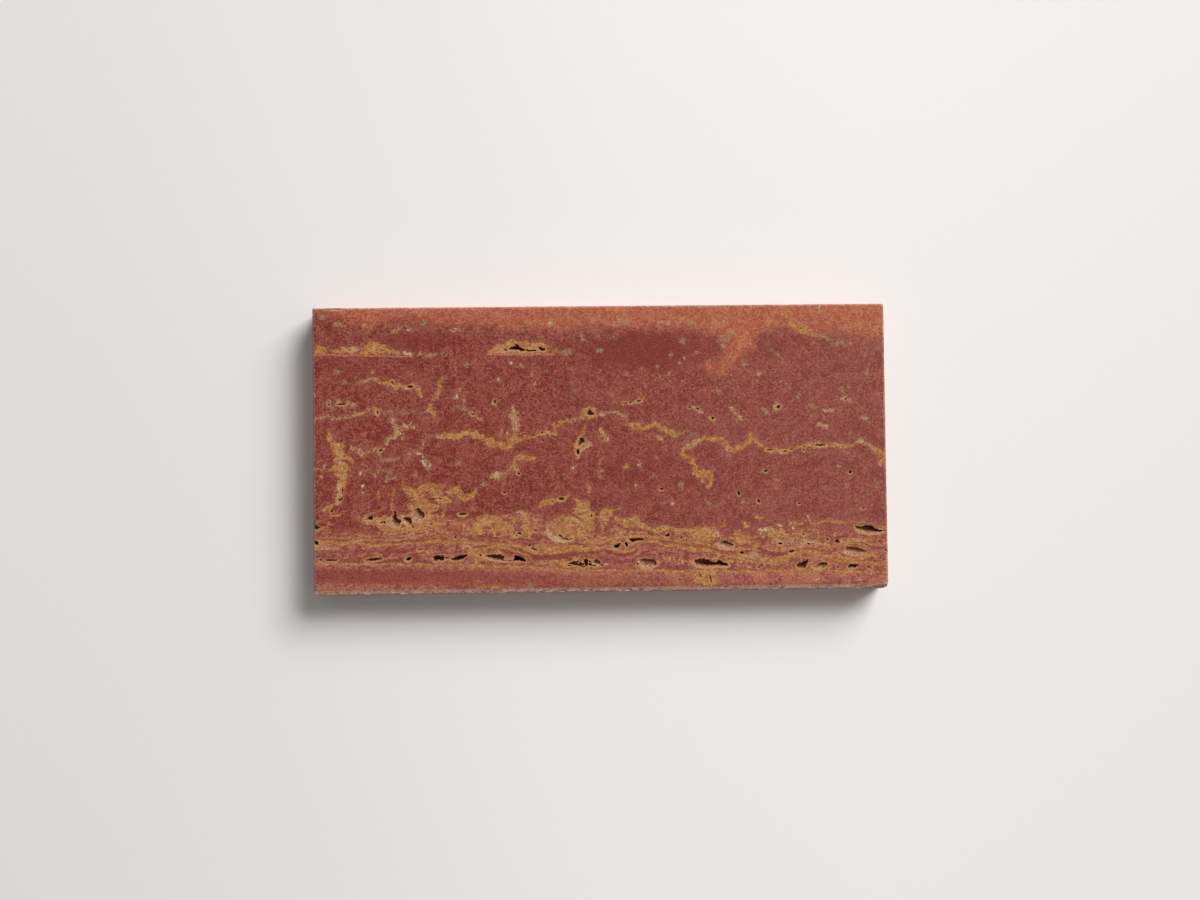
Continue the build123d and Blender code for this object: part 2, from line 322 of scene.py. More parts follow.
# Veins and bedding lines of the lower, porous stone
LOWER_VEINS = tuple(Vein(*row) for row in (
    (OCHRE, 0.7, 1.3, ((-23.2, -3.4, 1), (-22.5, -2.4), (-20.6, -1.9, 1.5), (-18.9, -2.5),
        (-17.6, -2.2, 0.9))),
    (CREAM, 0.5, 0.9, ((-22.9, -3.6), (-24.4, -5.4), (-25.3, -6.6), (-29, -7, 1.3), (-26, -7.1, 1.4))),
    (OCHRE, 0.8, 1.2, ((-16.4, -15.2, 0.7), (-15.6, -14.2, 1.4), (-13.4, -14, 1.6), (-12.2, -13.4),
        (-10.2, -13.2, 1.4), (-8.6, -12.4, 0.6))),
    (OCHRE, 0.7, 2.2, ((-6.8, -13.4, 1), (-5.4, -14.8), (-4, -16.6, 2.6), (-3.4, -19.2),
        (-3.4, -21.6, 1.4))),
    (GREY, 0.6, 0.8, ((-7.4, -13, 0.6), (-5.6, -14.4), (-4.5, -16), (-3, -17.4), (-2.7, -19.7),
        (-2.4, -21.4))),
    (OCHRE, 0.6, 0.6, ((-5.6, -13.9), (-3.6, -13.8))),
    (OCHRE, 0.6, 1.5, ((-42.8, -11), (-41.8, -13), (-41.6, -15), (-42, -17, 1))),
    (OCHRE, 0.7, 2, ((-27.2, -18.8), (-26.4, -20.6), (-26, -22.4, 1.2))),
    (OCHRE, 0.8, 1.4, ((-32.4, -18.2), (-30.4, -17.9, 1.7), (-28.4, -18.2))),
    (OCHRE, 0.7, 1.3, ((4.6, -19.3), (6.6, -20.2, 1.7), (9.2, -19.8, 1.2))),
    (GREY, 0.6, 0.9, ((8.6, -18.2), (9.6, -18.9))),
    (CREAM, 0.6, 0.5, ((0, -17.2), (-0.3, -19.1), (0, -20.5))),
    (OCHRE, 0.85, 1.3, ((0.1, -21.3, 0.5), (0.1, -18.3, 0.7), (0.6, -16.6), (2.2, -16.9),
        (3.4, -16.2, 0.8), (4.8, -16, 0.4))),
    (OCHRE, 0.75, 1.9, ((-52.4, -9.4, 1), (-51.2, -10.6, 2.2), (-49.4, -11.4), (-47.8, -12.6, 2.4),
        (-46.6, -13.8, 1.6))),
    (OCHRE, 0.75, 1.8, ((-48, -10.2), (-45.6, -9.6, 2.4), (-43.2, -10, 2), (-41.6, -9.2, 0.8))),
    (OCHRE, 0.75, 1.8, ((-44.3, -11.2, 1), (-42.4, -12.6, 2.4), (-40.4, -13.4, 1.2))),
    (OCHRE, 0.95, 1.6, ((-39.9, -11, 1.8), (-38.4, -10.5, 2), (-37.2, -11.4, 1.2))),
    (OCHRE, 0.75, 1.4, ((-37.6, -12, 1.2), (-36, -12.8, 2), (-34.2, -11.8), (-33.2, -10.6, 0.7))),
    (OCHRE, 0.6, 0.8, ((-58.9, -11), (-59.1, -12.5))),
    (OCHRE, 0.6, 0.8, ((-55.1, -10.2), (-55.3, -12.1), (-55.5, -15.4))),
    (OCHRE, 0.7, 2.2, ((-50.4, -14.8), (-47.6, -14.4), (-45.1, -14.9))),
    (OCHRE, 0.6, 0.7, ((-63.5, -18.6), (-62.3, -17), (-59.5, -16), (-57.3, -15.2))),
    (OCHRE, 0.65, 1, ((-64.4, -17.2), (-62.8, -18.9), (-59.6, -19.5), (-57.6, -20.6), (-54.2, -21.2, 1.6),
        (-50.8, -20.6, 1.8), (-47, -20.2, 1.6), (-45, -18.4, 1.4))),
    (OCHRE, 0.55, 2, ((-46.2, -19.6), (-44, -19.8), (-42.6, -21))),
    (OCHRE, 0.8, 1.3, ((-32.2, -17.8, 0.8), (-30.4, -18.4), (-28, -18.8), (-26.6, -20.4, 1),
        (-25.4, -20.8), (-24.2, -19.2, 0.7), (-22, -18.9, 0.6))),
    (CREAM, 0.45, 0.8, ((-23.2, -16.6), (-21, -16.5), (-20.8, -17.7, 1), (-15.8, -18.6, 0.6))),
    (OCHRE, 0.9, 0.9, ((3.7, -18.7), (5.4, -19.4), (7.6, -19.4), (8.2, -20.5), (10.7, -21), (12.9, -21.6),
        (14.6, -21.9), (15.7, -21.2), (17, -21.6), (20.1, -21.9), (22, -21.75), (24.6, -22.1))),
    (OCHRE, 0.8, 0.7, ((7.8, -19.2), (9.4, -18), (9.8, -19.2))),
    (CREAM, 0.7, 0.6, ((3.6, -18.1), (5.4, -18.9), (7.4, -18.9), (10.1, -19.9), (12.2, -20.8),
        (14, -21.5), (16.4, -20.8), (19.6, -21.5))),
    (OCHRE, 0.75, 0.8, ((40.4, -18.6, 0.5), (42.2, -18.8), (43.6, -19.6, 0.4))),
    (OCHRE, 0.8, 1, ((50.4, -20.6), (52.8, -20.6))),
    (OCHRE, 0.7, 0.7, ((55, -18.6), (55.5, -20), (56.3, -21), (56.2, -22.5))),
    (OCHRE, 0.7, 0.7, ((56.6, -20.9), (59.1, -20.1), (60.3, -19.6), (62.2, -20.2), (64.4, -20.5))),
    (OCHRE, 0.65, 1.6, ((43.6, -21.9, 1.2), (44.4, -23), (45.8, -23.4, 2), (46.4, -24.6, 1))),
    (CREAM, 0.55, 0.8, ((44.6, -22.6), (46, -22.4))),
    (OCHRE, 0.7, 0.6, ((44.6, -21.8), (46.2, -22.2), (46.9, -23.6), (50.2, -23.2), (53.6, -23.3),
        (56.1, -23.6))),
    (OCHRE, 0.85, 0.7, ((-76.2, -24.2), (-71, -24.1), (-66.8, -24.3))),
    (CREAM, 0.6, 0.9, ((-76.2, -25.7), (-73, -25.5), (-69.8, -25.7))),
    (OCHRE, 0.85, 0.6, ((-66, -24.2), (-63.7, -24.4), (-60, -24.9, 0.9), (-55.1, -24.7), (-48.4, -24.4),
        (-43.2, -24, 1), (-40, -24.5, 0.8), (-35, -24.4), (-30, -24.9, 0.8), (-25, -25.2), (-20.6, -26),
        (-18.9, -26.6), (-16.1, -27.4), (-10, -27.2), (-6.7, -26.3), (-3.9, -26), (1.7, -26.4), (5.9, -27.4),
        (7.9, -27.2), (10.1, -25.2), (12.3, -24.7), (14.6, -24.9), (16.8, -25.8), (20.1, -26.3, 0.9),
        (25.7, -27.2, 1.1), (28.2, -27.4, 0.9), (30.9, -28.3), (33.7, -29), (38, -29.1, 0.9))),
    (CREAM, 0.7, 1, ((38.4, -29.1), (40.6, -29, 1.5), (42.7, -29.9))),
    (OCHRE, 0.85, 1.1, ((42.4, -29.9), (46.3, -30.2, 1.4), (48.6, -29.8, 1.2), (50.2, -28.8, 0.8),
        (53.6, -28), (56.9, -28.3, 0.9), (59.7, -29.25, 0.8), (61.6, -30.2, 0.7), (63.8, -31, 0.6),
        (68.6, -30.9, 0.7), (73, -31.6, 0.6), (76.2, -31.2, 0.6))),
    (OCHRE, 0.85, 0.6, BASE_LINE),
    (OCHRE, 0.75, 1, ((-35.5, -27.2), (-33, -28.4, 1.6), (-33.4, -29.8, 0.8))),
    (OCHRE, 0.65, 0.8, ((-17, -30), (-13.4, -29.8), (-10, -30.2))),
    (OCHRE, 0.8, 0.6, ((-33, -27.2), (-31, -26), (-28, -25.6), (-24, -26.3), (-19.6, -28.2),
        (-18.6, -29.4))),
    (OCHRE, 0.75, 0.6, ((-10, -22.6), (-4, -24.4), (2, -24.4), (6, -23.4), (12, -23.2), (20, -24.9),
        (27, -25.8), (36, -27.4))),
    (OCHRE, 0.6, 0.5, ((40, -26.4), (46, -27), (52, -27), (58, -27.2), (62, -26.4), (66, -25.4),
        (72, -25))),
    (CREAM, 0.6, 0.9, ((46, -25.4), (49.5, -25.2), (53, -25.6), (58, -25.9))),
    (OCHRE, 0.5, 0.4, ((-76.2, -20.8), (-70, -21.6), (-64, -22), (-58, -22.8), (-50, -22.4), (-42, -22.6),
        (-36, -22))),
    (OCHRE, 0.5, 0.4, ((-76.2, -22.6), (-68, -22.9), (-62, -23.5), (-55, -23.4), (-48, -23.3))),
    (OCHRE, 0.7, 0.5, ((48.6, -30.4), (51.8, -29.2), (55.2, -29.5), (58.4, -30.1), (61.3, -31.6))),
    (OCHRE, 0.6, 0.4, ((50.4, -30.2), (50.4, -32.1), (52.4, -32.9), (55.4, -32.6), (55.6, -30.4))),
    (OCHRE, 0.6, 0.4, ((55.6, -30.4), (55.8, -32.6), (58.2, -33.1), (60.6, -32.4), (60.4, -31))),
    (OCHRE, 0.7, 0.5, ((62.4, -28.6), (63.6, -26.6), (66.2, -25.9), (69.4, -26.3), (71.8, -27.8),
        (71.4, -29.2), (67.6, -30.1), (63.8, -29.5), (62.4, -28.6))),
    (OCHRE, 0.7, 0.5, ((64.6, -20.8), (66.6, -20.3), (70.4, -20.4), (73.4, -21.2), (76.2, -22))),
    (OCHRE, 0.6, 0.4, ((24.5, -25.2), (30.4, -24.2), (34.6, -24.5), (38.4, -26.4), (42, -27.9))),
    (OCHRE, 0.55, 0.4, ((44, -28.3), (50, -27.4), (55, -27), (60.6, -27.2))),
    (OCHRE, 0.6, 0.6, ((-62.5, -31.3), (-61.4, -31.4))),
    (OCHRE, 0.6, 0.7, ((-33.2, -34.6), (-32.5, -34.8))),
    (OCHRE, 0.6, 0.8, ((-30.9, -36.4), (-29.6, -36.7), (-27.6, -36.2))),
))

# The rings of the round nodule in the lower bed
NODULE_RINGS = tuple(Vein(*row) for row in (
    (OCHRE, 0.72, 3.6, ((-11.4, -20.6), (-9, -20.4), (-6.6, -20.8, 3), (-5.4, -22, 2.6), (-8, -22.4))),
    (OCHRE, 0.9, 0.7, ((-14.2, -20.6), (-13.2, -19.1), (-11, -18.3), (-8, -18.3), (-5, -19.3),
        (-3.4, -21), (-3.6, -22.6), (-5.4, -23.8))),
    (CREAM, 0.8, 1.1, ((-14.5, -20.4, 0.4), (-14.3, -21.8), (-13.6, -23, 1.5), (-12.2, -24, 1.4),
        (-10.4, -24.5, 1), (-8.2, -24.4, 0.5))),
    (CREAM, 0.75, 0.6, ((-8.4, -18.3), (-6.7, -18.9), (-5.3, -19.7), (-4.5, -20.6))),
))

# Mineral that fills an area rather than a line: mineral, strength and outline
PATCHES = tuple(Patch(*row) for row in (
    (OCHRE, 1, ((-63.2, 27.4), (-62.8, 28.2), (-61.4, 28.3), (-61, 29.2), (-60.2, 29.5), (-59.4, 28.9),
        (-58.6, 28.8), (-57.8, 28.1), (-56.6, 27.7), (-55.6, 26.9), (-53.6, 26.5), (-52.8, 25.8),
        (-54, 25.65), (-63.4, 25.8))),
    (OCHRE, 0.85, ((-71.4, 26.6), (-70, 27), (-68.4, 27.8), (-67, 27.7), (-65.4, 27.9), (-64, 27.2),
        (-64, 26.1), (-71, 26))),
    (CREAM, 0.75, ((-67.4, 26.7), (-66.8, 27.5), (-65.6, 27.8), (-64.6, 27.2), (-63.8, 27.4),
        (-63.8, 26.6), (-65.2, 26.2), (-66.6, 26.2))),
    (CREAM, 0.85, ((-52.8, 26.1), (-51.6, 26.3), (-50.6, 26), (-49.4, 25.9), (-49.6, 25.4),
        (-51.4, 25.4))),
    (OCHRE, 0.75, ((-75.4, 26.8), (-74.4, 27.9), (-72.8, 27.8), (-72.6, 26.4), (-73.6, 26),
        (-75.2, 26))),
    (GREY, 0.85, ((-48.4, 25.7), (-47.8, 26.2), (-46.8, 26), (-46.6, 25.6), (-47.6, 25.4))),
    (GREY, 0.8, ((-46.2, 25.4), (-45, 25.9), (-43.6, 25.7), (-43, 25.4), (-44.2, 24.8), (-45.4, 24.7))),
    (GREY, 0.7, ((-42.8, 25.5), (-41.6, 25.7), (-41.2, 25.2), (-42.2, 25))),
    (OCHRE, 0.95, ((-30, 25.6), (-28.6, 26.8), (-27.8, 27.8), (-25, 28.1), (-23.5, 29.5), (-21.9, 28.8),
        (-20, 28.6), (-18, 28.2), (-16.1, 28.7), (-13.9, 27.5), (-13.5, 26.2), (-14, 25.6), (-22, 25.4))),
    (OCHRE, 0.75, ((-13.2, 26.4), (-12.8, 26.8), (-11.4, 26.5), (-11.2, 25.8), (-12.2, 25.6))),
    (GREY, 0.9, ((-10.8, 25.7), (-10.2, 26.4), (-9, 26.3), (-8.2, 27), (-7.6, 26.7), (-7.6, 25.6),
        (-9, 25.3))),
    (OCHRE, 0.95, ((24.4, -32.3), (30.6, -32.4), (30.8, -36.4), (28, -36.8), (24.2, -35.6))),
    (OCHRE, 0.95, ((24.4, -21.6), (27, -20.9), (28.4, -21.8), (30.4, -21.2), (30.9, -23.2),
        (29.6, -24.6), (27.4, -24.5), (25.2, -23.4))),
    (OCHRE, 0.95, ((35.2, -21.8), (36.4, -22.4), (37.2, -23.2), (39.2, -23.4), (39.5, -25.2),
        (36.4, -25.9), (35, -24.6))),
    (CREAM, 0.6, ((46, -25.6), (48.2, -24.8), (51, -24.5), (54, -24.6), (57.2, -25.2), (57.8, -26),
        (55, -26.3), (51, -26.2), (48, -26.4))),
    (CREAM, 0.5, ((31.2, 28.2), (31.8, 29.8), (33.4, 30.1), (34.8, 29.6), (34.4, 28.2), (33.4, 27.4),
        (33.2, 26.3), (32.4, 26), (32.6, 27.6))),
    (CREAM, 0.75, ((-29.8, -7.3), (-28.6, -6.4), (-27.4, -5.9), (-26.1, -6), (-25.9, -7.2),
        (-26.8, -7.9), (-28.6, -7.8))),
    (CREAM, 0.45, ((-39.6, 31.8), (-38, 32.5), (-36.4, 32.2), (-36.6, 31.5), (-38.8, 31.4))),
))

# Small marks: the mineral, its strength, and the centres with their size across
SPOTS = (
    (CREAM, 0.9, ((-47.05, -2.7, 0.8), (-45, -3.5, 0.7), (-45.9, -4.5, 0.6), (-48.2, -0.9, 0.5),
        (-46.6, -3.8, 0.5), (-63.8, -5.8, 0.45), (-63.1, -9.2, 0.3), (-63.2, -10.9, 0.7), (42.25, -22.2, 0.8),
        (42.3, -22.8, 0.7), (43.6, -21.9, 0.7), (47.3, -20.9, 0.6), (50.9, -21.8, 0.5), (18.9, -14.8, 0.5),
        (30.8, -23.3, 0.7), (65.4, -10.2, 0.5), (-38.25, 14.2, 0.5), (-27, 18.5, 0.6), (-23.7, 23, 0.4),
        (-50.5, 32, 0.5), (-67.9, 32.9, 0.4), (42.2, 19.5, 0.4), (-7.4, -5.2, 0.5), (4.7, -22.3, 0.5),
        (56.8, -35.4, 0.5), (68.6, -35.6, 0.4), (1.2, -30.8, 0.5), (-54, 5.6, 0.9), (-53.2, 4.6, 0.6))),
    (CREAM, 0.55, ((5.4, 34.2, 1.6), (4, 33.3, 1.2), (7.3, 33.3, 1.3), (16.1, 33.6, 1.6), (18.2, 33.3, 1.3),
        (21.8, 34.4, 1.2), (21.2, 33, 1.4), (24, 33.5, 1.5), (30.7, 34, 0.9), (33.7, 33.3, 1.1),
        (35.4, 30.7, 1.2), (-15.2, 33.4, 1.2), (-13, 33.4, 1.3), (59, 37.2, 1), (-72, 12.9, 1.3),
        (-70.6, 13.1, 1.2), (-69, 13, 1.4), (-67, 12.8, 1.4), (-65.6, 12.2, 1.2), (-71, 11.8, 1.2),
        (-68, 11.7, 1), (-54.6, 6.6, 1.4), (-53.4, 5.6, 1.9), (-51.6, 6, 1.2), (-49.8, 6.5, 0.9),
        (-55, 4.2, 1.4), (-56.4, 3, 1), (-52.4, 3.4, 1.2), (-54.6, 8.2, 0.8), (-45.8, -2.9, 1.5),
        (-46.6, -1.8, 1.2), (-17.4, 17, 1), (-14.6, 21, 0.8), (-18, 20, 0.9), (37.6, -14.4, 0.9),
        (47.4, -8.9, 0.8), (9, -10.2, 0.8), (-3.3, -10.2, 0.8), (-26, 5, 1.2), (-24.8, 4.6, 0.9))),
    (GREY, 0.75, ((22.2, 28.9, 1.7), (-73.4, 36, 1.5), (-69.6, 33.75, 1.4), (-46.8, 33.75, 1.3),
        (-4.5, 28.9, 1.1), (0, 26, 1.2), (-21, 22.1, 1.2), (28.9, 23.1, 0.9), (15.4, 21.8, 1), (7.2, 20, 1),
        (18.4, 19.6, 1), (38.4, 22.2, 0.9), (31.5, 14.6, 1), (45.8, 25.6, 1), (47.7, 24.4, 1.2),
        (71, 24.3, 1), (71, 19.5, 1.2), (64.4, 15.2, 1.3), (52.9, 13.2, 1.1), (56.6, 10.6, 1.2),
        (61.6, 9.6, 1.2), (58.8, 5.5, 1), (70.2, 7.3, 1.2), (63.1, -5.4, 0.9), (59.7, -11, 1.1),
        (46.6, -8.9, 0.9), (68, -1.6, 1.1), (33.9, -2.4, 0.9), (21.6, -10.4, 1), (6.4, -4.5, 1),
        (10.4, -4.2, 1), (15, -2.7, 0.9), (5.3, -11.7, 0.9), (0, -6, 1.1), (-38.2, -3.5, 1.3),
        (-31.1, -9, 1.4), (-69.6, 21.1, 1.6), (-67.6, 18.5, 1.2), (-19.2, -35.5, 1.2), (19.8, -35.4, 1),
        (-27, 26.8, 0.6), (-56.1, -6.3, 0.9), (-54.6, -7.1, 1), (34.6, 28.4, 1), (66.4, 16, 0.9),
        (-24.6, 4.4, 0.9), (27.6, -14, 0.8), (28.4, -15, 0.8), (-35.4, 22.6, 1), (3.4, 29.6, 0.8))),
    (OCHRE, 0.75, ((29.85, 7.75, 1.8), (6.7, -4.6, 1.2), (-68.6, 2.2, 1.1))),
    (CREAM, 0.7, ((47.4, 10.7, 1.9), (10.3, -4.1, 1.2), (23.4, 26.9, 0.5), (25.7, 25.5, 0.5),
        (22.4, 24.2, 0.5), (21.3, 22.5, 0.5), (19, 24.5, 0.4), (-0.2, 29.8, 0.4), (-6.6, 30.4, 0.4),
        (-4.8, 30.1, 0.4))),
    (GREY, 0.85, ((13.7, -7.5, 1.3), (21.5, -10, 1.2))),
    (OCHRE, 0.7, ((-18.3, 33.4, 1), (-1.7, 34, 1), (-60.4, 20.9, 1.2), (-37, 16, 0.9), (3.3, 14, 0.8),
        (-54.5, 31.3, 1.2), (-53.2, 32.4, 0.8), (-47.4, 25.9, 0.7), (-45.2, 25.3, 0.8), (10.5, -14, 0.8),
        (-49, -6.3, 0.9), (-59.8, -6.6, 0.9), (38.2, -20.8, 1.6), (32.3, -20.9, 1.4), (74, 33.5, 0.7),
        (74.25, 29.9, 0.7), (67.2, 27.2, 0.7), (-21.4, 22.2, 0.7), (-62.2, 33.4, 0.8), (-56.6, 33, 0.7))),
)

# The larger hollows of the honed face: mouth, depth, lean and lip
CAVERNS = tuple(Cavern(*row) for row in (
    (((-44.8, -28.6), (-44.4, -27.9), (-43.3, -27.75), (-42.5, -27.8), (-41.8, -28), (-41.7, -28.6),
        (-42, -29.15), (-42.6, -29.2), (-43, -28.95), (-43.5, -28.95), (-43.9, -29.35), (-44.7, -29.3)), 2.6),
    (((-40, -29.2), (-39.8, -28.6), (-39, -28.2), (-38.2, -27.95), (-37.3, -27.75), (-36.3, -27.75),
        (-35.5, -27.85), (-36.3, -28.4), (-37.1, -28.95), (-38.1, -29.2), (-39, -29.25)), 2.3),
    (((-31.1, -28.1), (-30.3, -27.75), (-29, -27.7), (-27.8, -27.75), (-26.7, -27.8), (-26.1, -28.1),
        (-26, -28.6), (-26.1, -29.15), (-25.2, -29.25), (-24.1, -29.3), (-24.1, -29.5), (-26, -29.5),
        (-28, -29.4), (-29.2, -29.15), (-30, -28.75), (-30.7, -28.5)), 1.7, (0.1, 0.3), 0.7),
    (((-23.45, -28.3), (-23, -28), (-22.3, -28.05), (-21.6, -28.3), (-20.9, -28.75), (-20.3, -29.25),
        (-20.5, -29.5), (-21.5, -29.6), (-22.6, -29.55), (-23.6, -29.5), (-23.8, -29.3), (-23.4, -28.9)), 4),
    (((-9.45, -30.4), (-8.4, -30.1), (-7.5, -29.7), (-6.65, -29.95), (-6.3, -30.4), (-6.35, -31),
        (-7.5, -30.95), (-8.4, -30.75)), 1.5),
    (((-6.65, -30.85), (-6.15, -30.15), (-5.7, -29.8), (-5.3, -30.4), (-4.85, -30.2), (-4.75, -30.95),
        (-5.55, -31.1), (-6.45, -31.1)), 1.6),
    (((-4.95, -30.1), (-4.8, -29.45), (-4.3, -29), (-3.65, -29.6), (-3.9, -30.1), (-3.6, -30.6),
        (-3.9, -31.2), (-4.55, -31.05), (-4.75, -30.5)), 1.8),
    (((-3.6, -30.3), (-2.95, -30.4), (-2.65, -30.9), (-3.35, -31.1), (-3.7, -30.75)), 1.4),
    (((-2.65, -30.2), (-2.1, -29.5), (-1.35, -29.6), (-0.55, -29.75), (-0.35, -30.3), (-0.85, -30.95),
        (-1.75, -30.75), (-2.4, -30.65)), 0.9, (0.1, 0.3), 0.9),
    (((2.85, -26), (3.3, -25.6), (3.9, -25.4), (4.4, -25.4), (4.8, -25.05), (4.9, -25.6), (4.6, -26),
        (4.4, -26.45), (3.6, -26.45), (3.05, -26.4)), 2.2),
    (((6, -25.1), (6.25, -24.85), (6.55, -25), (6.85, -25.5), (6.95, -25.95), (6.7, -26.2),
        (6.3, -26.1), (6.05, -25.6)), 2),
    (((6.95, -23.8), (7.6, -23.9), (8.6, -24), (9.8, -23.85), (10.6, -24.05), (11.2, -24.3),
        (10.4, -24.5), (9.4, -24.55), (8.6, -24.85), (8, -25.05), (7.65, -24.75), (7.2, -24.3)), 2.2),
    (((9.5, -29.5), (10.2, -29.4), (11.4, -29.25), (12.4, -29.4), (13.4, -29.4), (14, -29.7),
        (14.4, -30.3), (14.5, -30.8), (14, -31.3), (12.9, -31.75), (11.4, -31.85), (10.5, -31.6),
        (10, -30.7)), 0.95, (0.3, 0.6), 1),
    (((16.65, -23.25), (17.2, -22.9), (17.7, -22.6), (17.95, -23), (17.75, -23.55), (17.2, -23.65),
        (16.8, -23.5)), 1.6),
    (((30.9, -25.9), (31.2, -25.3), (31.8, -24.95), (32.5, -24.85), (33.3, -25.05), (34.1, -25.4),
        (34.7, -25.75), (34.95, -26.2), (34.5, -26.7), (33.4, -27.05), (32.2, -27), (31.3, -26.6)), 1,
        (0.4, 1.3), 1),
    (((24.25, -30.4), (24.6, -29.8), (25.3, -29.5), (26.4, -29.55), (27.6, -29.55), (28.3, -29.85),
        (28.6, -30.25), (29.4, -30.45), (30.3, -30.45), (30.8, -30.1), (31.6, -30.15), (32.1, -30.55),
        (33, -30.85), (33.6, -31.15), (33.5, -31.65), (32.2, -31.65), (30.8, -31.6), (29.4, -31.6),
        (28.5, -31.5), (27.6, -31.7), (26.4, -31.75), (25.2, -31.5), (24.5, -30.95)), 2.6, (0.2, 0.45), 1),
    (((67.3, -21.3), (68.2, -21.4), (69.2, -21.45), (70.2, -21.3), (71.2, -21.25), (72, -21.4),
        (72.6, -21.85), (73.2, -22.15), (74.2, -22.35), (74.95, -22.75), (74.3, -23.05), (73.6, -23.25),
        (73, -23.35), (72.2, -23.3), (71.2, -23.45), (70, -23.35), (68.8, -22.9), (67.9, -22.3)), 2.2,
        (0.7, 1), 1),
    (((64.4, -28.4), (64.6, -27.6), (65, -27.1), (65.8, -26.8), (66.8, -26.95), (68, -27.1),
        (69.2, -27.45), (70.2, -27.95), (70.4, -28.35), (69.6, -28.7), (68.6, -29.1), (67.4, -29.2),
        (66.4, -28.9), (65.4, -28.8)), 1.1, (0.4, 1.2), 0.7),
    (((51.4, -31.6), (51.8, -31.1), (52.6, -31), (53.2, -30.85), (53.8, -30.5), (54.55, -30.1),
        (54.7, -30.6), (54.4, -31.2), (54.3, -32), (53.8, -32.4), (52.6, -32.4), (51.7, -32.2)), 2.2),
    (((56.1, -31.9), (57, -31.5), (57.8, -31), (58.7, -30.8), (59.4, -30.9), (59.9, -31.3),
        (59.6, -31.8), (59.2, -32.3), (58.4, -32.45), (57.6, -32.6), (57, -32.65), (56.4, -32.4)), 1.05,
        (0.2, 0.5), 0.6),
    (((65.3, -32), (65.8, -31.6), (66.4, -31.35), (67.2, -31.55), (68.3, -31.6), (68, -31.95),
        (67.6, -32.1), (67.4, -32.45), (66.6, -32.35), (65.9, -32.55), (65.35, -32.45)), 1.8),
    (((61.95, -25.35), (62.5, -24.7), (63, -25.05), (63.25, -25.75), (62.6, -25.7), (62.2, -25.6)),
        1.6),
    (((-62.65, -18), (-61.9, -17.8), (-61.5, -17.35), (-61, -17.15), (-60.5, -17.15), (-60.5, -17.7),
        (-60.6, -18.2), (-61.1, -18.35), (-61.5, -18.15), (-62, -18.15)), 1.9, (0.1, 0.2), 0.8),
    (((-59.1, -19.05), (-58.5, -18.9), (-58, -18.7), (-57.5, -18.45), (-57.2, -18.55), (-57.15, -18.9),
        (-56.7, -19.2), (-57.3, -19.25), (-57.8, -19), (-58.5, -19.2)), 1.1, (0.1, 0.2), 0.8),
    (((-55.05, -15.95), (-54.6, -16.05), (-54.45, -16.7), (-54.25, -17.3), (-53.9, -17.75),
        (-53.4, -18.15), (-52.95, -18.15), (-53, -18.55), (-53.3, -18.8), (-53.5, -19.4), (-53.4, -19.9),
        (-54.4, -20.1), (-55.4, -19.9), (-56, -19.3), (-55.7, -18.6), (-55.75, -17.9), (-55.4, -17.4),
        (-55, -17), (-54.95, -16.5)), 1.8, (0.5, 0.9), 1),
    (((-52.65, -17.9), (-52.35, -17.6), (-51.7, -17.45), (-51, -17.55), (-50.5, -17.85),
        (-50.25, -18.4), (-50.3, -19), (-50.2, -19.6), (-50.8, -19.75), (-51.6, -19.55), (-52.3, -19),
        (-52.75, -18.5)), 1.5, (0.5, 0.7), 1),
    (((-49.1, -15.3), (-48.5, -15.15), (-47.8, -15.75), (-47.1, -16.35), (-46.9, -17), (-47.15, -17.8),
        (-47.7, -18.4), (-48.7, -18.7), (-49.6, -18.4), (-49.95, -17.6), (-50, -16.6), (-49.7, -15.8)), 1.25,
        (1.2, 1), 1),
    (((-77.2, -18.95), (-76.2, -19), (-75.4, -19.15), (-75, -19.55), (-73.9, -20.05), (-74.9, -20.25),
        (-75.3, -20.65), (-76.2, -20.7), (-77.2, -20.7)), 2.4),
    (((-76.15, -24), (-75.7, -23.45), (-75.2, -23.55), (-74.9, -24.1), (-74.75, -24.55), (-75.3, -24.7),
        (-75.7, -24.45), (-76.1, -24.35)), 1.8),
    (((-24.3, 26.7), (-23.8, 27.25), (-23.2, 27.45), (-22.6, 27.65), (-22.3, 28.05), (-21.7, 28.05),
        (-21.4, 27.4), (-20.9, 27.1), (-20.4, 26.8), (-19.6, 26.55), (-18.6, 26.45), (-17.1, 26.45),
        (-17.1, 26.25), (-18.6, 26.15), (-19.8, 26.15), (-20.8, 26.15), (-21.4, 26.45), (-22.6, 26.5),
        (-23.4, 26.55)), 2.6),
    (((-16.6, 27.35), (-16, 27.2), (-15.3, 27), (-14.7, 26.8), (-14.45, 26.4), (-14.8, 26.15),
        (-15.4, 26.05), (-15.9, 26.25), (-16.15, 26.6), (-16.45, 26.95)), 1.7),
    (((-4, 9.15), (-3.4, 9.8), (-3, 10.4), (-2.5, 10.1), (-1.8, 9.5), (-1.9, 9.1), (-3.2, 9)), 1.3),
    (((-6.25, 0.65), (-6.05, 1.8), (-5.6, 2.5), (-5.2, 3), (-4.65, 2.9), (-4.4, 2.2), (-4.15, 1.9),
        (-4.6, 1.5), (-5.2, 1.25), (-5.75, 0.5)), 1.5, (0.1, 0.1), 0.9),
    (((-6.6, -0.5), (-6.2, -0.05), (-5.75, -0.4), (-5.7, -1.2), (-6.1, -1.6), (-6.5, -1.35)), 1.3),
))

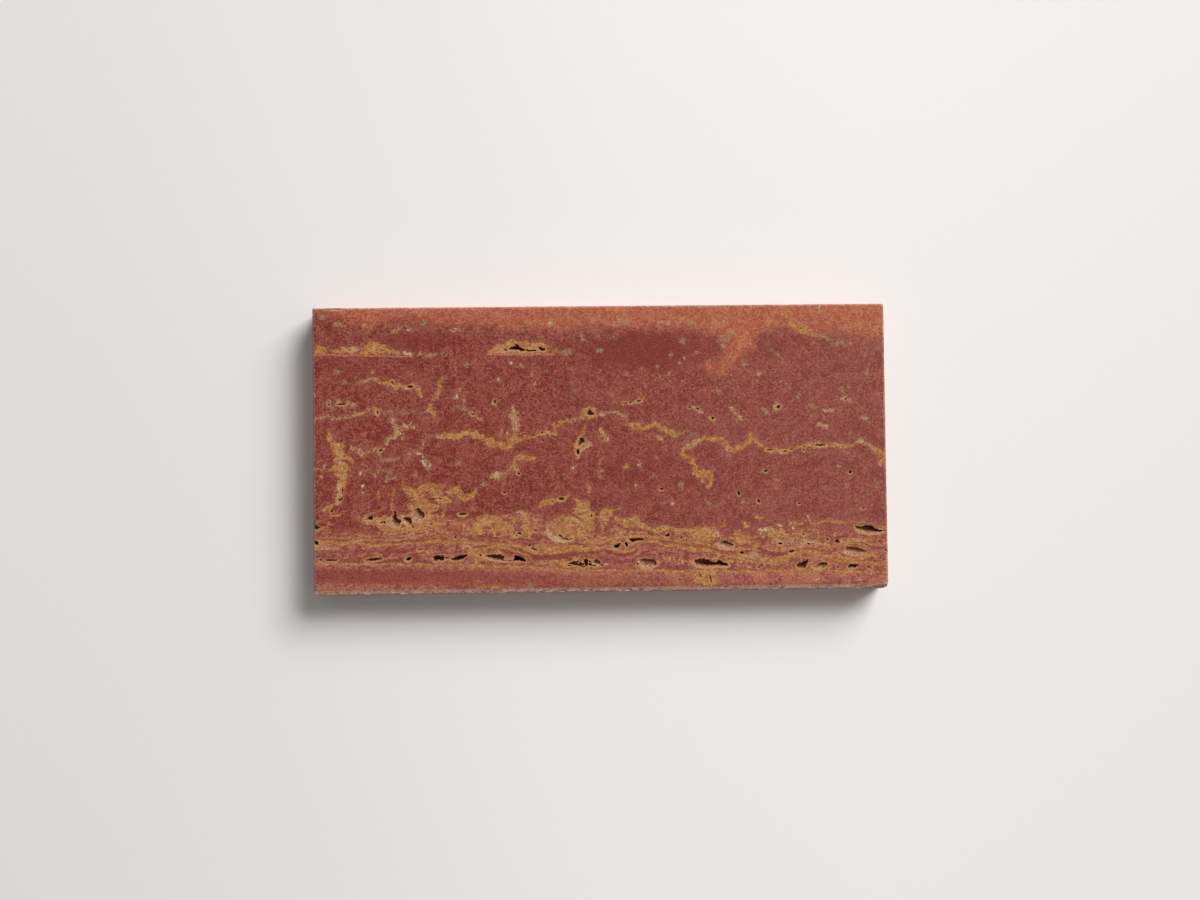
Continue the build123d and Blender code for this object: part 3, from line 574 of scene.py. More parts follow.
# The smaller cavities of the honed face: centre, length, width, depth, turn and lip
CAVITIES = tuple(Cavity(*row) for row in (
    (-25, 26.55, 1.3, 0.4, 0.8, -18), (-50.4, 16.95, 1.55, 0.7, 1.2), (-54.9, 17.85, 1.3, 0.45, 0.9, -40),
    (-68.45, -10.3, 0.3, 2.3, 0.7, -6), (-68.6, 12.5, 2.65, 0.45, 1, 2), (-71.9, 12.4, 0.55, 0.45, 0.7),
    (-59.05, 10.2, 0.45, 1.1, 0.8), (-28, 12.75, 0.6, 1, 1), (-33.9, 9.5, 1, 0.45, 0.8, -20),
    (-58.4, 0.1, 1, 0.55, 0.9, 30), (-15.6, 4.4, 0.55, 0.55, 0.7), (7.9, 12.2, 0.5, 0.55, 0.7),
    (10.1, 12.55, 1.1, 0.45, 0.8, 10), (23.7, 10.7, 0.5, 0.45, 0.7), (25.9, 10.3, 1.1, 0.45, 0.9, -35),
    (29.9, 7.75, 0.8, 0.8, 1.3), (47.4, 10.65, 1, 0.85, 1.2), (65.4, 12.5, 0.65, 0.7, 0.9),
    (58.5, 0.3, 3.2, 0.55, 1, 2), (45, -0.8, 1.9, 0.42, 0.7, 5), (48.8, -1.35, 1.4, 0.42, 0.7, 18),
    (50.7, -0.75, 1, 0.35, 0.6, 25), (54.2, -0.1, 0.45, 0.45, 0.6), (54, -1, 0.45, 0.45, 0.6),
    (43.8, -6.4, 1, 0.7, 1.1, 20), (66.4, -7, 0.8, 0.9, 1.2), (16, -10.9, 0.9, 0.55, 0.9, -12),
    (36.5, -12.25, 0.7, 1.3, 1.1, 20), (41.8, -14.4, 0.7, 1.2, 1.2, 25), (52.6, -15.2, 0.9, 0.4, 0.7),
    (69.75, -16.65, 1, 0.4, 0.7), (-25.8, -11.3, 0.65, 0.6, 0.8), (-21.9, -6.4, 0.75, 0.55, 0.9),
    (-22.4, -4.8, 0.45, 0.4, 0.6), (-10.7, -13.2, 1.45, 0.8, 1.3, -10), (-13.1, -13.9, 0.55, 0.45, 0.7),
    (-2.8, -17.85, 0.55, 0.7, 0.9), (-42.75, -12.75, 1, 0.4, 0.8, -22), (-71.35, -15.8, 0.7, 0.8, 1, -20),
    (-69.2, -12.95, 1.65, 0.45, 0.9, 40), (-49.95, -20.1, 0.45, 0.9, 0.7, 35), (-43.9, -18.8, 0.55, 0.4, 0.5),
    (-45.2, -19.5, 0.5, 0.45, 0.5), (-46.8, -20.15, 0.55, 0.35, 0.4, -30),
    (-36.8, -16.9, 2.3, 0.7, 1.2, 4, 1), (-38.75, -23.05, 0.6, 0.75, 1, 20), (-36.1, -23.2, 0.65, 0.35, 0.5),
    (-21.9, -22.25, 1.2, 0.6, 1, -14), (-22.6, -22.75, 0.4, 0.65, 0.5, -25), (-74.3, -28.6, 0.8, 0.55, 0.8),
    (-71.5, -28.65, 3.2, 0.55, 1.2), (-62.3, -28.75, 0.75, 0.4, 0.7), (-60.2, -28.6, 4.1, 0.75, 1.5, 6),
    (-51.2, -28.6, 1.75, 0.9, 1.7, 22, 1), (-41.2, -28.45, 1.45, 0.4, 0.8, -8),
    (-32.25, -27.9, 0.45, 0.65, 0.7, 25), (-48.2, -26.2, 1.3, 0.4, 0.5, 8, 1),
    (-19.3, -25.5, 1, 0.4, 0.9, 48), (-17.9, -26.45, 2.1, 0.5, 1, -32), (-4.7, -26, 1.3, 0.35, 0.6, 18),
    (-15.4, -29.9, 0.45, 0.4, 0.5), (-10.9, -23.2, 1.45, 0.4, 0.7, -48), (-9.4, -23.95, 1.85, 0.4, 0.8, -8),
    (-8.2, -23.9, 0.9, 0.4, 0.6, 14), (-8.9, -30.9, 1.1, 0.45, 0.8), (-6.55, -29.95, 0.7, 0.5, 0.8, 30),
    (-3.4, -29.9, 0.9, 0.45, 0.8, -30), (-0.2, -30.9, 0.7, 0.5, 0.8), (-5.2, -31.25, 1.2, 0.4, 0.7),
    (-2.2, -30.95, 1, 0.4, 0.7), (9.3, -30.7, 0.55, 0.45, 0.6), (21.05, -23.85, 0.65, 0.55, 0.8, 15),
    (21.8, -23.6, 0.45, 0.3, 0.4, 25), (37.1, -28.1, 1.1, 0.75, 1.3), (41.6, -32, 0.5, 0.55, 0.7, -20),
    (47.4, -25.8, 1.3, 0.55, 1.1, -6, 1), (55, -26, 1.1, 0.4, 0.7, -20), (53.3, -25.4, 0.55, 0.4, 0.4, 40),
    (50.3, -27.9, 1.55, 0.7, 1, 14), (53.6, -23.4, 0.55, 0.55, 0.6), (59.95, -24.9, 0.55, 0.65, 0.9),
    (62.7, -32.3, 0.55, 0.4, 0.5), (75.4, -22.75, 1.45, 0.3, 0.6, 22), (71.1, -32.45, 1.75, 0.4, 0.7, -28),
    (75.6, -27.9, 1.2, 0.4, 0.8, -45), (25.9, -33.9, 0.4, 1.45, 0.9, 30), (28.7, -34.9, 0.4, 2.4, 0.9, 12)
))

# Cavities of the sawn back, on the same beds
BACK_CAVITIES = tuple(Cavity(*row) for row in (
    (-65.2, -18.8, 2.8, 1.3, 1.8), (-45.7, -17.2, 2.4, 1.6, 2, -8), (-56.7, -28.4, 3.6, 1.1, 1.9, 4),
    (-33.7, -28.7, 4.4, 1.2, 2.2), (1.8, -25.5, 3, 1.2, 1.8), (36.3, -30.4, 5.6, 1.4, 2.4),
    (61.8, -26.2, 3.8, 1.3, 2.1, -4), (-14.2, 26.4, 2.6, 1, 1.7), (-20.6, -29, 1.6, 0.6, 1.1),
    (14.6, -30.8, 2.2, 0.7, 1.4), (50.2, -22.8, 1.4, 0.9, 1.2), (-70.2, -28.3, 1.2, 0.6, 1),
    (24.8, -1, 1.1, 0.8, 1.1), (-52.4, 12.6, 0.9, 0.7, 0.9)
))

# Where the base line, the middle line and the porous top lie once the beds are straightened
BED_LEVELS = (-31.5, -26.5, -17.0)
# The lower edge of the orange band along the top, and the tongue that runs down from it
BAND_EDGE = (
    (-76.2, 37.8), (-71, 37.4), (-69, 35.2), (-64.5, 34.9), (-63, 33), (-60.5, 32.9), (-58, 34.6),
    (-50, 34.9), (-45, 34.7), (-40, 33.6), (-36, 33.4), (-31, 33.2), (-26, 32), (-20, 32.6), (-10, 31.9),
    (0, 32.5), (12, 32.2), (25, 32.2), (29, 30.6), (32, 30), (36, 29.4), (39.7, 28.9), (43, 30.2), (47, 31.8),
    (50, 32.6), (57, 30.8), (63, 30.7), (68, 30), (75, 29.2), (76.2, 29.2)
)
TONGUE = (
    (39.2, 31, 8), (38.2, 29.2, 7), (36.8, 27, 5.2), (35.8, 24.8, 4.2), (34.2, 22.4, 3.6), (32.2, 20.9, 3),
    (30, 21, 2.2), (28.6, 21.8, 1.2)
)
# Clay-rich layers: thin dark purple ones between the porous beds
CLAY_LAYERS = (
    ((-20.4, -27.2, 0.7), (-18, -28.4, 1.3), (-14, -28.6, 1.2), (-10, -28.1, 1.1), (-5, -27.5, 0.9),
        (0, -27.3, 0.5)),
    ((-34, -25.6, 0.6), (-30, -25.5, 1), (-25, -25.9, 1.1), (-21, -27, 0.8)),
    ((-12, -25.4, 0.4), (-7, -25.2, 0.6), (-1, -25.6, 0.5), (2, -27.6, 0.7), (6, -28.4, 0.8),
        (10, -27.6, 0.5)),
    ((38, -26.4, 0.7), (43, -28, 1.6), (48, -28.6, 1), (52, -27.2, 0.5), (60, -27.3, 0.5)),
)
# Thin straight seams of pink stone
SEAMS = (((-76.2, 25.75), (-63, 25.3), (-49.8, 24.9)), ((-29.6, 25.35), (-22, 25.2), (-12, 25.25)))
# Soft spots of bright orange red: centre and size across
FLUSHES = (
    (-62.7, 4.9, 1.3), (-62.9, 4.2, 1), (-34.1, -1.2, 1), (-34.2, -1.9, 0.8), (-38.2, 12.5, 0.8),
    (10.7, 21.1, 0.8), (57.4, 27.6, 1.2), (46.6, -10.6, 1.2), (-9.4, 29.4, 1), (26.2, 25.4, 0.7)
)
# Areas of deeper red: centre, half length, half height and strength
DEEP_REDS = (
    (12, 26, 20, 5.5, 0.75), (-50, 29, 12, 3, 0.6), (-66, 21.5, 10, 3.6, 0.45), (10, -6, 16, 5, 0.5),
    (2, -13.5, 12, 3, 0.4), (23.8, -9, 2.6, 2, 0.7), (-72, -1, 4, 8, 0.4), (34, 27.6, 3.4, 3, 0.5),
    (46, 26, 7, 3.4, 0.5), (-34, -6, 12, 4, 0.3)
)
# Faint washes of ochre: centre, half length, half height and strength
WASHES = (
    (-53.5, -18.8, 9.5, 2.6, 0.8), (-45.5, -16.2, 3.6, 3.4, 0.7), (-68.5, -15.6, 2.6, 1.6, 0.45),
    (-71, -18.8, 5, 2.4, 0.5), (-30, -20.5, 7, 2.8, 0.75), (-21.5, -20, 5, 4.4, 0.7),
    (-30.5, -27.6, 5.5, 2.4, 0.7), (-8, -30, 8.5, 1.5, 0.7), (27.5, -23, 3.8, 2, 0.8),
    (56, -22.4, 6, 1.6, 0.4), (45.6, -23, 3, 2.4, 0.75), (-4.5, -17.4, 3.4, 3.6, 0.75),
    (67, -28, 5, 2.4, 0.3), (-73.4, -25.4, 3.4, 1.4, 0.5), (-46.5, -11.6, 7, 3.2, 0.5),
    (2, -18.4, 3, 3, 0.45), (15.5, -22.5, 10, 1.2, 0.45), (57, -30.6, 5, 1.5, 0.25),
    (-9, -26.4, 10, 1.5, 0.95), (-4, -24.6, 8, 1, 0.5)
)

# How ragged the lower veins are, where the upper ones are 1
LOWER_RAGGED = 0.4
# The usual width of a clay layer and of a seam
CLAY_WIDTH, SEAM_WIDTH = 1.0, 0.35
# How far a vein moves along the tile for each millimetre that it goes down
VEIN_LEAN = 0.5
# The longest hollow that the beds run straight past
SMALL_HOLLOW = 1.4


class StoneField:
    """Measures, in millimetres, how the stone's features lie around a set of places.

    The features are drawn on the honed face and lean a little as they go down through the stone.
    """

    def __init__(self, x: np.ndarray, y: np.ndarray, depth: np.ndarray) -> None:
        """Find the places on the drawing of the face.

        Args:
            x: Each place along the tile, from its middle.
            y: Each place across the tile, from its middle.
            depth: How far each place is below the honed face.
        """
        x = x + VEIN_LEAN * depth
        y = y + 0.3 * np.sin(0.5 * depth)
        self.x = x + 0.1 * np.sin(1.3 * y + 0.7 * x)
        self.y = y + 0.08 * np.sin(0.9 * x + 0.5 * y)

    def near(self, points: tuple) -> np.ndarray:
        """The indices of the places in the box round the points, widened by FAR."""
        xs, ys = zip(*(point[:2] for point in points))
        across = (self.x > min(xs) - FAR) & (self.x < max(xs) + FAR)
        up = (self.y > min(ys) - FAR) & (self.y < max(ys) + FAR)
        return np.flatnonzero(across & up)

    def line(self, path: tuple, width: float) -> tuple[np.ndarray, np.ndarray]:
        """The indices of the places near a line, and how deep each lies inside it."""
        near = self.near(path)
        return near, line_depth(self.x[near], self.y[near], path, width)

    def area(self, outline: tuple) -> tuple[np.ndarray, np.ndarray]:
        """The indices of the places near an area, and how deep each lies inside its outline."""
        near = self.near(outline)
        return near, outline_depth(self.x[near], self.y[near], outline)

    def hollow(self, hollow: Cavity | Cavern) -> tuple[np.ndarray, np.ndarray]:
        """The indices of the places near a hollow, and how deep each lies inside its mouth."""
        half = hollow.length / 2
        near = self.near(((hollow.x - half, hollow.y), (hollow.x + half, hollow.y)))
        return near, hollow.inside(self.x[near], self.y[near])

    def mineral(self, mineral: Mineral) -> np.ndarray:
        """Measure one mineral at every place.

        Args:
            mineral: Which mineral to look for.

        Returns:
            A row for each place: its depth inside the mineral, and the strength and raggedness of what is
            nearest.
        """
        field = np.zeros((len(self.x), 3))
        field[:, 0] = -FAR

        def lay(near: np.ndarray, inside: np.ndarray, strength: float, ragged: float) -> None:
            """Keep the feature where it is nearer than those before it."""
            nearer = inside > field[near, 0]
            field[near[nearer], 0] = inside[nearer]
            field[near[nearer], 1] = strength
            field[near[nearer], 2] = ragged

        for veins, ragged in ((VEINS, 1.0), (LOWER_VEINS + NODULE_RINGS, LOWER_RAGGED)):
            for vein in veins:
                if vein.mineral is mineral:
                    lay(*self.line(vein.path, vein.width), vein.strength, ragged)
        for patch in PATCHES:
            if patch.mineral is mineral:
                lay(*self.area(patch.outline), patch.strength, 1.0)
        for kind, strength, spots in SPOTS:
            if kind is mineral:
                for x, y, size in spots:
                    near = self.near(((x, y),))
                    lay(near, size / 2 - np.hypot(self.x[near] - x, self.y[near] - y), strength, 1.0)
        return field

    def lines(self, paths: tuple, width: float) -> np.ndarray:
        """The depth of every place inside the nearest of several lines."""
        depth = np.full(len(self.x), -FAR)
        for path in paths:
            near, inside = self.line(path, width)
            depth[near] = np.maximum(depth[near], inside)
        return depth

    def flushes(self) -> np.ndarray:
        """How strongly every place is flushed with orange red, from 0 to 1."""
        flush = np.zeros(len(self.x))
        for x, y, size in FLUSHES:
            flush = np.maximum(flush, np.exp(-((self.x - x) ** 2 + (self.y - y) ** 2) / (0.4 * size ** 2)))
        return flush

    def spread(self, areas: tuple) -> np.ndarray:
        """The strength of the strongest of several soft-edged areas at every place."""
        strength = np.zeros(len(self.x))
        for x, y, half_length, half_height, most in areas:
            reach = ((self.x - x) / half_length) ** 2 + ((self.y - y) / half_height) ** 2
            strength = np.maximum(strength, most * np.exp(-0.8 * reach ** 2))
        return strength

    def bedding(self) -> np.ndarray:
        """Straighten the beds.

        Returns:
            A row for each place: its place along its bed, its height once the beds are straight, and its
            depth inside the porous stone.
        """
        base, middle, top = (np.interp(self.x, *zip(*line)) for line in (BASE_LINE, MIDDLE_LINE, POROUS_TOP))
        low, centre, high = BED_LEVELS
        height = np.where(self.y < base, low + self.y - base,
                          np.where(self.y < middle, low + (centre - low) * (self.y - base) / (middle - base),
                                   np.where(self.y < top,
                                            centre + (high - centre) * (self.y - middle) / (top - middle),
                                            high + self.y - top)))
        for cavity in CAVITIES + CAVERNS:
            if cavity.length > SMALL_HOLLOW and cavity.y < POROUS_TOP[0][1]:
                along = (self.x - cavity.x) / (0.8 * cavity.length)
                swell = 0.55 * cavity.width * np.clip(1 - along ** 2, 0, None)
                above = self.y - cavity.y
                side = above / np.hypot(above, 0.35)
                height -= side * swell * np.exp(-np.clip(np.abs(above) - swell, 0, None) / 1.1)
        porous = np.clip(np.minimum(self.y - base, top - self.y), -FAR, 2 * FAR)
        return np.stack([self.x, height, porous], 1)

    def zones(self) -> np.ndarray:
        """Measure the broad parts of the stone.

        Returns:
            A row for each place: its depth below the porous stone, the strength of the ochre wash, or of the
            deeper red as a negative number, and its depth inside the orange band or tongue.
        """
        below = np.clip(np.interp(self.x, *zip(*BASE_LINE)) - self.y, -FAR, 3 * FAR)
        wash, deep = self.spread(WASHES), self.spread(DEEP_REDS)
        orange = np.clip(self.y - np.interp(self.x, *zip(*BAND_EDGE)), -FAR, 2 * FAR)
        near, inside = self.line(TONGUE, 1.0)
        orange[near] = np.maximum(orange[near], inside)
        return np.stack([below, np.where(wash > deep, wash, -deep), orange], 1)

    def lips(self) -> np.ndarray:
        """How pale the nearest hollow's rim is at every place: its pale crystal, painted most on the lower left
        as painted light, where the light falls on the hollow's wall.
        """
        nearest = np.full(len(self.x), -FAR)
        lip = np.zeros(len(self.x))
        for cavity in CAVITIES + CAVERNS + BACK_CAVITIES:
            near, inside = self.hollow(cavity)
            nearer = inside > nearest[near]
            rows = near[nearer]
            nearest[rows] = inside[nearer]
            x = (self.x[rows] - cavity.x) / cavity.length
            y = (self.y[rows] - cavity.y) / cavity.width
            # Painted light: the rim is painted paler on the lower left, where the light from the upper right
            # falls on the hollow's wall
            lit_side = (-0.35 * x - 0.94 * y) / (np.hypot(x, y) + 0.001)
            lip[rows] = cavity.lip * (0.55 + 0.45 * lit_side)
        return lip

    def closeness(self) -> np.ndarray:
        """How near every place is, in millimetres, to what the mesh has to follow: negative outside it."""
        layers = np.maximum(self.lines(CLAY_LAYERS, CLAY_WIDTH), self.lines(SEAMS, SEAM_WIDTH))
        closest = np.maximum(-np.abs(self.zones()[:, 2]), layers)
        for mineral in Mineral:
            closest = np.maximum(closest, self.mineral(mineral)[:, 0])
        for cavity in CAVITIES + CAVERNS:
            near, inside = self.hollow(cavity)
            closest[near] = np.maximum(closest[near], -np.abs(inside))
        return closest


def select_only(*pieces: Object) -> None:
    """Select these objects and no other, the last of them active, or nothing at all."""
    bpy.ops.object.select_all(action="DESELECT")
    for piece in pieces:
        piece.select_set(True)
        bpy.context.view_layer.objects.active = piece


def weigh(piece: Object, weights: np.ndarray) -> None:
    """Say how much each vertex of a piece is moved when it is roughened, in steps of a tenth."""
    group = piece.vertex_groups.new(name="rough")
    steps = weights.round(1)
    for level in np.unique(steps[steps > 0]):
        group.add(np.flatnonzero(steps == level).tolist(), float(level), "REPLACE")


def roughen(piece: Object, size: float, strength: float, middle: float) -> None:
    """Move a weighed piece's points along their normals by soft noise.

    Args:
        piece: The piece.
        size: The size of the noise, in metres.
        strength: How far the noise can move a vertex, in metres.
        middle: The noise's level at which a vertex stays: 1 lets it only move inwards.
    """
    noise = bpy.data.textures.new("stone_roughness", "CLOUDS")
    noise.noise_scale = size
    noise.noise_depth = 3
    select_only(piece)
    displace = piece.modifiers.new("rough", "DISPLACE")
    displace.texture = noise
    displace.texture_coords = "LOCAL"
    displace.vertex_group = "rough"
    displace.strength = strength
    displace.mid_level = middle
    bpy.ops.object.modifier_apply(modifier=displace.name)
    piece.vertex_groups.clear()


@dataclass
class TileSlab:
    """The sawn block of stone, honed on its top face. Its sizes are in metres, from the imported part's box."""

    low: Vector
    high: Vector
    face_arris: float = 0.35 * MM
    back_arris: float = 0.3 * MM
    cell: float = 1.05 * MM
    corner: float = 0.3 * MM
    wear: float = 0.9 * MM
    wear_grain: float = 1.7 * MM
    # In millimetres: how far in from an edge the wear reaches, how far in from the lower edge it is full, how
    # near a feature the cells are halved and halved again, and how deep inside one they no longer are
    wear_reach: float = 1.25
    lower_strip: float = 2.0
    reaches: tuple = (0.7, 0.22)
    solid: float = 0.7
    # The share of the wear on every edge but the lower long one
    light_wear: float = 0.22

    @property
    def size(self) -> Vector:
        """The block's length, width and thickness."""
        return self.high - self.low

    def build(self) -> Object:
        """Model the block with its eased edges, its corners and its wear.

        Returns:
            The block, closed, with finer cells where the stone's features run.
        """
        face = self._sheet(self.high.z, self.face_arris)
        self._draw_down(face)
        back = self._sheet(self.low.z, self.back_arris)
        select_only(back, face)
        bpy.ops.object.join()
        block = bpy.context.object
        block.name = "stone_tile"
        bpy.ops.object.mode_set(mode="EDIT")
        bpy.ops.mesh.select_mode(type="EDGE")
        bpy.ops.mesh.select_all(action="DESELECT")
        bpy.ops.mesh.select_non_manifold()
        bpy.ops.mesh.bridge_edge_loops()
        bpy.ops.mesh.select_all(action="SELECT")
        bpy.ops.mesh.normals_make_consistent(inside=False)
        bpy.ops.object.mode_set(mode="OBJECT")
        self._round_corners(block)
        for reach in self.reaches:
            self._refine(block, reach)
        places = self.places(block.data.vertices)
        lower = places[:, 1] < self.lower_strip - self.size.y / MM / 2
        weights = np.clip(self.wear_reach - self.edge_distance(places), 0, 1)
        weigh(block, weights * np.where(lower, 1.0, self.light_wear))
        roughen(block, self.wear_grain, self.wear, 1.0)
        return block

    def _sheet(self, height: float, arris: float) -> Object:
        """A grid for the face or the back, inside its eased edge.

        Args:
            height: Where the grid lies.
            arris: The width of the eased edge round it.
        """
        middle = (self.low + self.high) / 2
        select_only()
        bpy.ops.mesh.primitive_grid_add(
            x_subdivisions=round(self.size.x / self.cell), y_subdivisions=round(self.size.y / self.cell),
            size=1, location=(middle.x, middle.y, height))
        sheet = bpy.context.object
        sheet.scale = (self.size.x - 2 * arris, self.size.y - 2 * arris, 1)
        bpy.ops.object.transform_apply(location=True, rotation=False, scale=True)
        return sheet

    def _draw_down(self, face: Object) -> None:
        """Extrude the face's rim down over the eased edge and the sawn sides, a row of cells at a time."""
        depth = self.size.z - self.face_arris - self.back_arris
        rows = round(depth / self.cell)
        select_only(face)
        bpy.ops.object.mode_set(mode="EDIT")
        bpy.ops.mesh.select_mode(type="EDGE")
        bpy.ops.mesh.select_all(action="DESELECT")
        bpy.ops.mesh.select_non_manifold()
        bpy.ops.mesh.extrude_region()
        bpy.ops.transform.translate(value=(0, 0, -self.face_arris))
        inner = (self.size.x - 2 * self.face_arris, self.size.y - 2 * self.face_arris)
        bpy.ops.transform.resize(value=(self.size.x / inner[0], self.size.y / inner[1], 1))
        for _ in range(rows):
            bpy.ops.mesh.extrude_region()
            bpy.ops.transform.translate(value=(0, 0, -depth / rows))
        bpy.ops.object.mode_set(mode="OBJECT")

    def _round_corners(self, block: Object) -> None:
        """Bevel the four upright corners, which are found by their place."""
        places = self.places(block.data.vertices)
        reach = (self.face_arris + 0.01 * MM) / MM
        half = np.array(self.size) / MM / 2
        corner = (np.abs(places[:, 0]) > half[0] - reach) & (np.abs(places[:, 1]) > half[1] - reach)
        ends = np.empty(len(block.data.edges) * 2, np.int32)
        block.data.edges.foreach_get("vertices", ends)
        self._select(block, "edges", corner[ends].reshape(-1, 2).all(1))
        bpy.ops.object.mode_set(mode="EDIT")
        bpy.ops.mesh.bevel(offset=self.corner, segments=3, affect="EDGES")
        bpy.ops.object.mode_set(mode="OBJECT")

    def _refine(self, block: Object, reach: float) -> None:
        """Halve the cells near the stone's features and near the worn edges.

        Args:
            block: The block.
            reach: How far from a feature the cells are halved, in millimetres.
        """
        centres = self.places(block.data.polygons)
        field = StoneField(centres[:, 0], centres[:, 1], centres[:, 2])
        on_face = centres[:, 2] < 0.5 * self.face_arris / MM
        closeness = field.closeness()
        wanted = on_face & (closeness > -reach) & (closeness < self.solid)
        wanted |= (centres[:, 2] < 1) & (self.edge_distance(centres) < reach)
        self._select(block, "polygons", wanted)
        bpy.ops.object.mode_set(mode="EDIT")
        bpy.ops.mesh.subdivide(number_cuts=1)
        bpy.ops.object.mode_set(mode="OBJECT")

    def _select(self, block: Object, kind: str, wanted: np.ndarray) -> None:
        """Select only the wanted edges or polygons of the block, ready for edit mode."""
        select_only(block)
        bpy.context.tool_settings.mesh_select_mode = (False, kind == "edges", kind == "polygons")
        for parts in (block.data.vertices, block.data.edges, block.data.polygons):
            parts.foreach_set("select", np.zeros(len(parts), bool))
        getattr(block.data, kind).foreach_set("select", wanted)

    def places(self, parts: bpy.types.bpy_prop_collection) -> np.ndarray:
        """Each vertex or polygon's place in millimetres: along and across from the middle, and its depth."""
        at = np.empty(len(parts) * 3)
        parts.foreach_get("center" if hasattr(parts[0], "center") else "co", at)
        middle = (self.low + self.high) / 2
        return (at.reshape(-1, 3) - (middle.x, middle.y, self.high.z)) / MM * (1, 1, -1)

    def edge_distance(self, places: np.ndarray) -> np.ndarray:
        """How far each place is from the block's nearest edge, in millimetres."""
        half = np.array(self.size) / MM / 2
        thickness = self.size.z / MM
        walls = np.stack([half[0] - np.abs(places[:, 0]), half[1] - np.abs(places[:, 1]),
                          np.minimum(places[:, 2], thickness - places[:, 2])], 1)
        nearest = np.sort(np.abs(walls), 1)
        return np.hypot(nearest[:, 0], nearest[:, 1])


# The tile's material slots
HONED, SAWN, LINING = range(3)
# Flakes broken off the face's edges: centre, then half the length, width and depth
NICKS = (
    (74.4, -38.5, 3.6, 1.5, 1.3), (76.2, -37.9, 1.6, 1.2, 1.6), (71.6, -38.3, 1.6, 0.9, 0.8),
    (44.25, -37.6, 0.7, 0.35, 0.5), (32.6, -37.2, 0.5, 0.35, 0.5), (-76.2, 38.1, 0.6, 0.5, 0.7),
    (76.2, 38.1, 0.8, 0.8, 1.2), (-76.2, -38.1, 0.7, 0.5, 0.7), (-69.5, 38.5, 7, 1.2, 0.6),
    (-59, 38.3, 2.2, 0.5, 0.4)
)


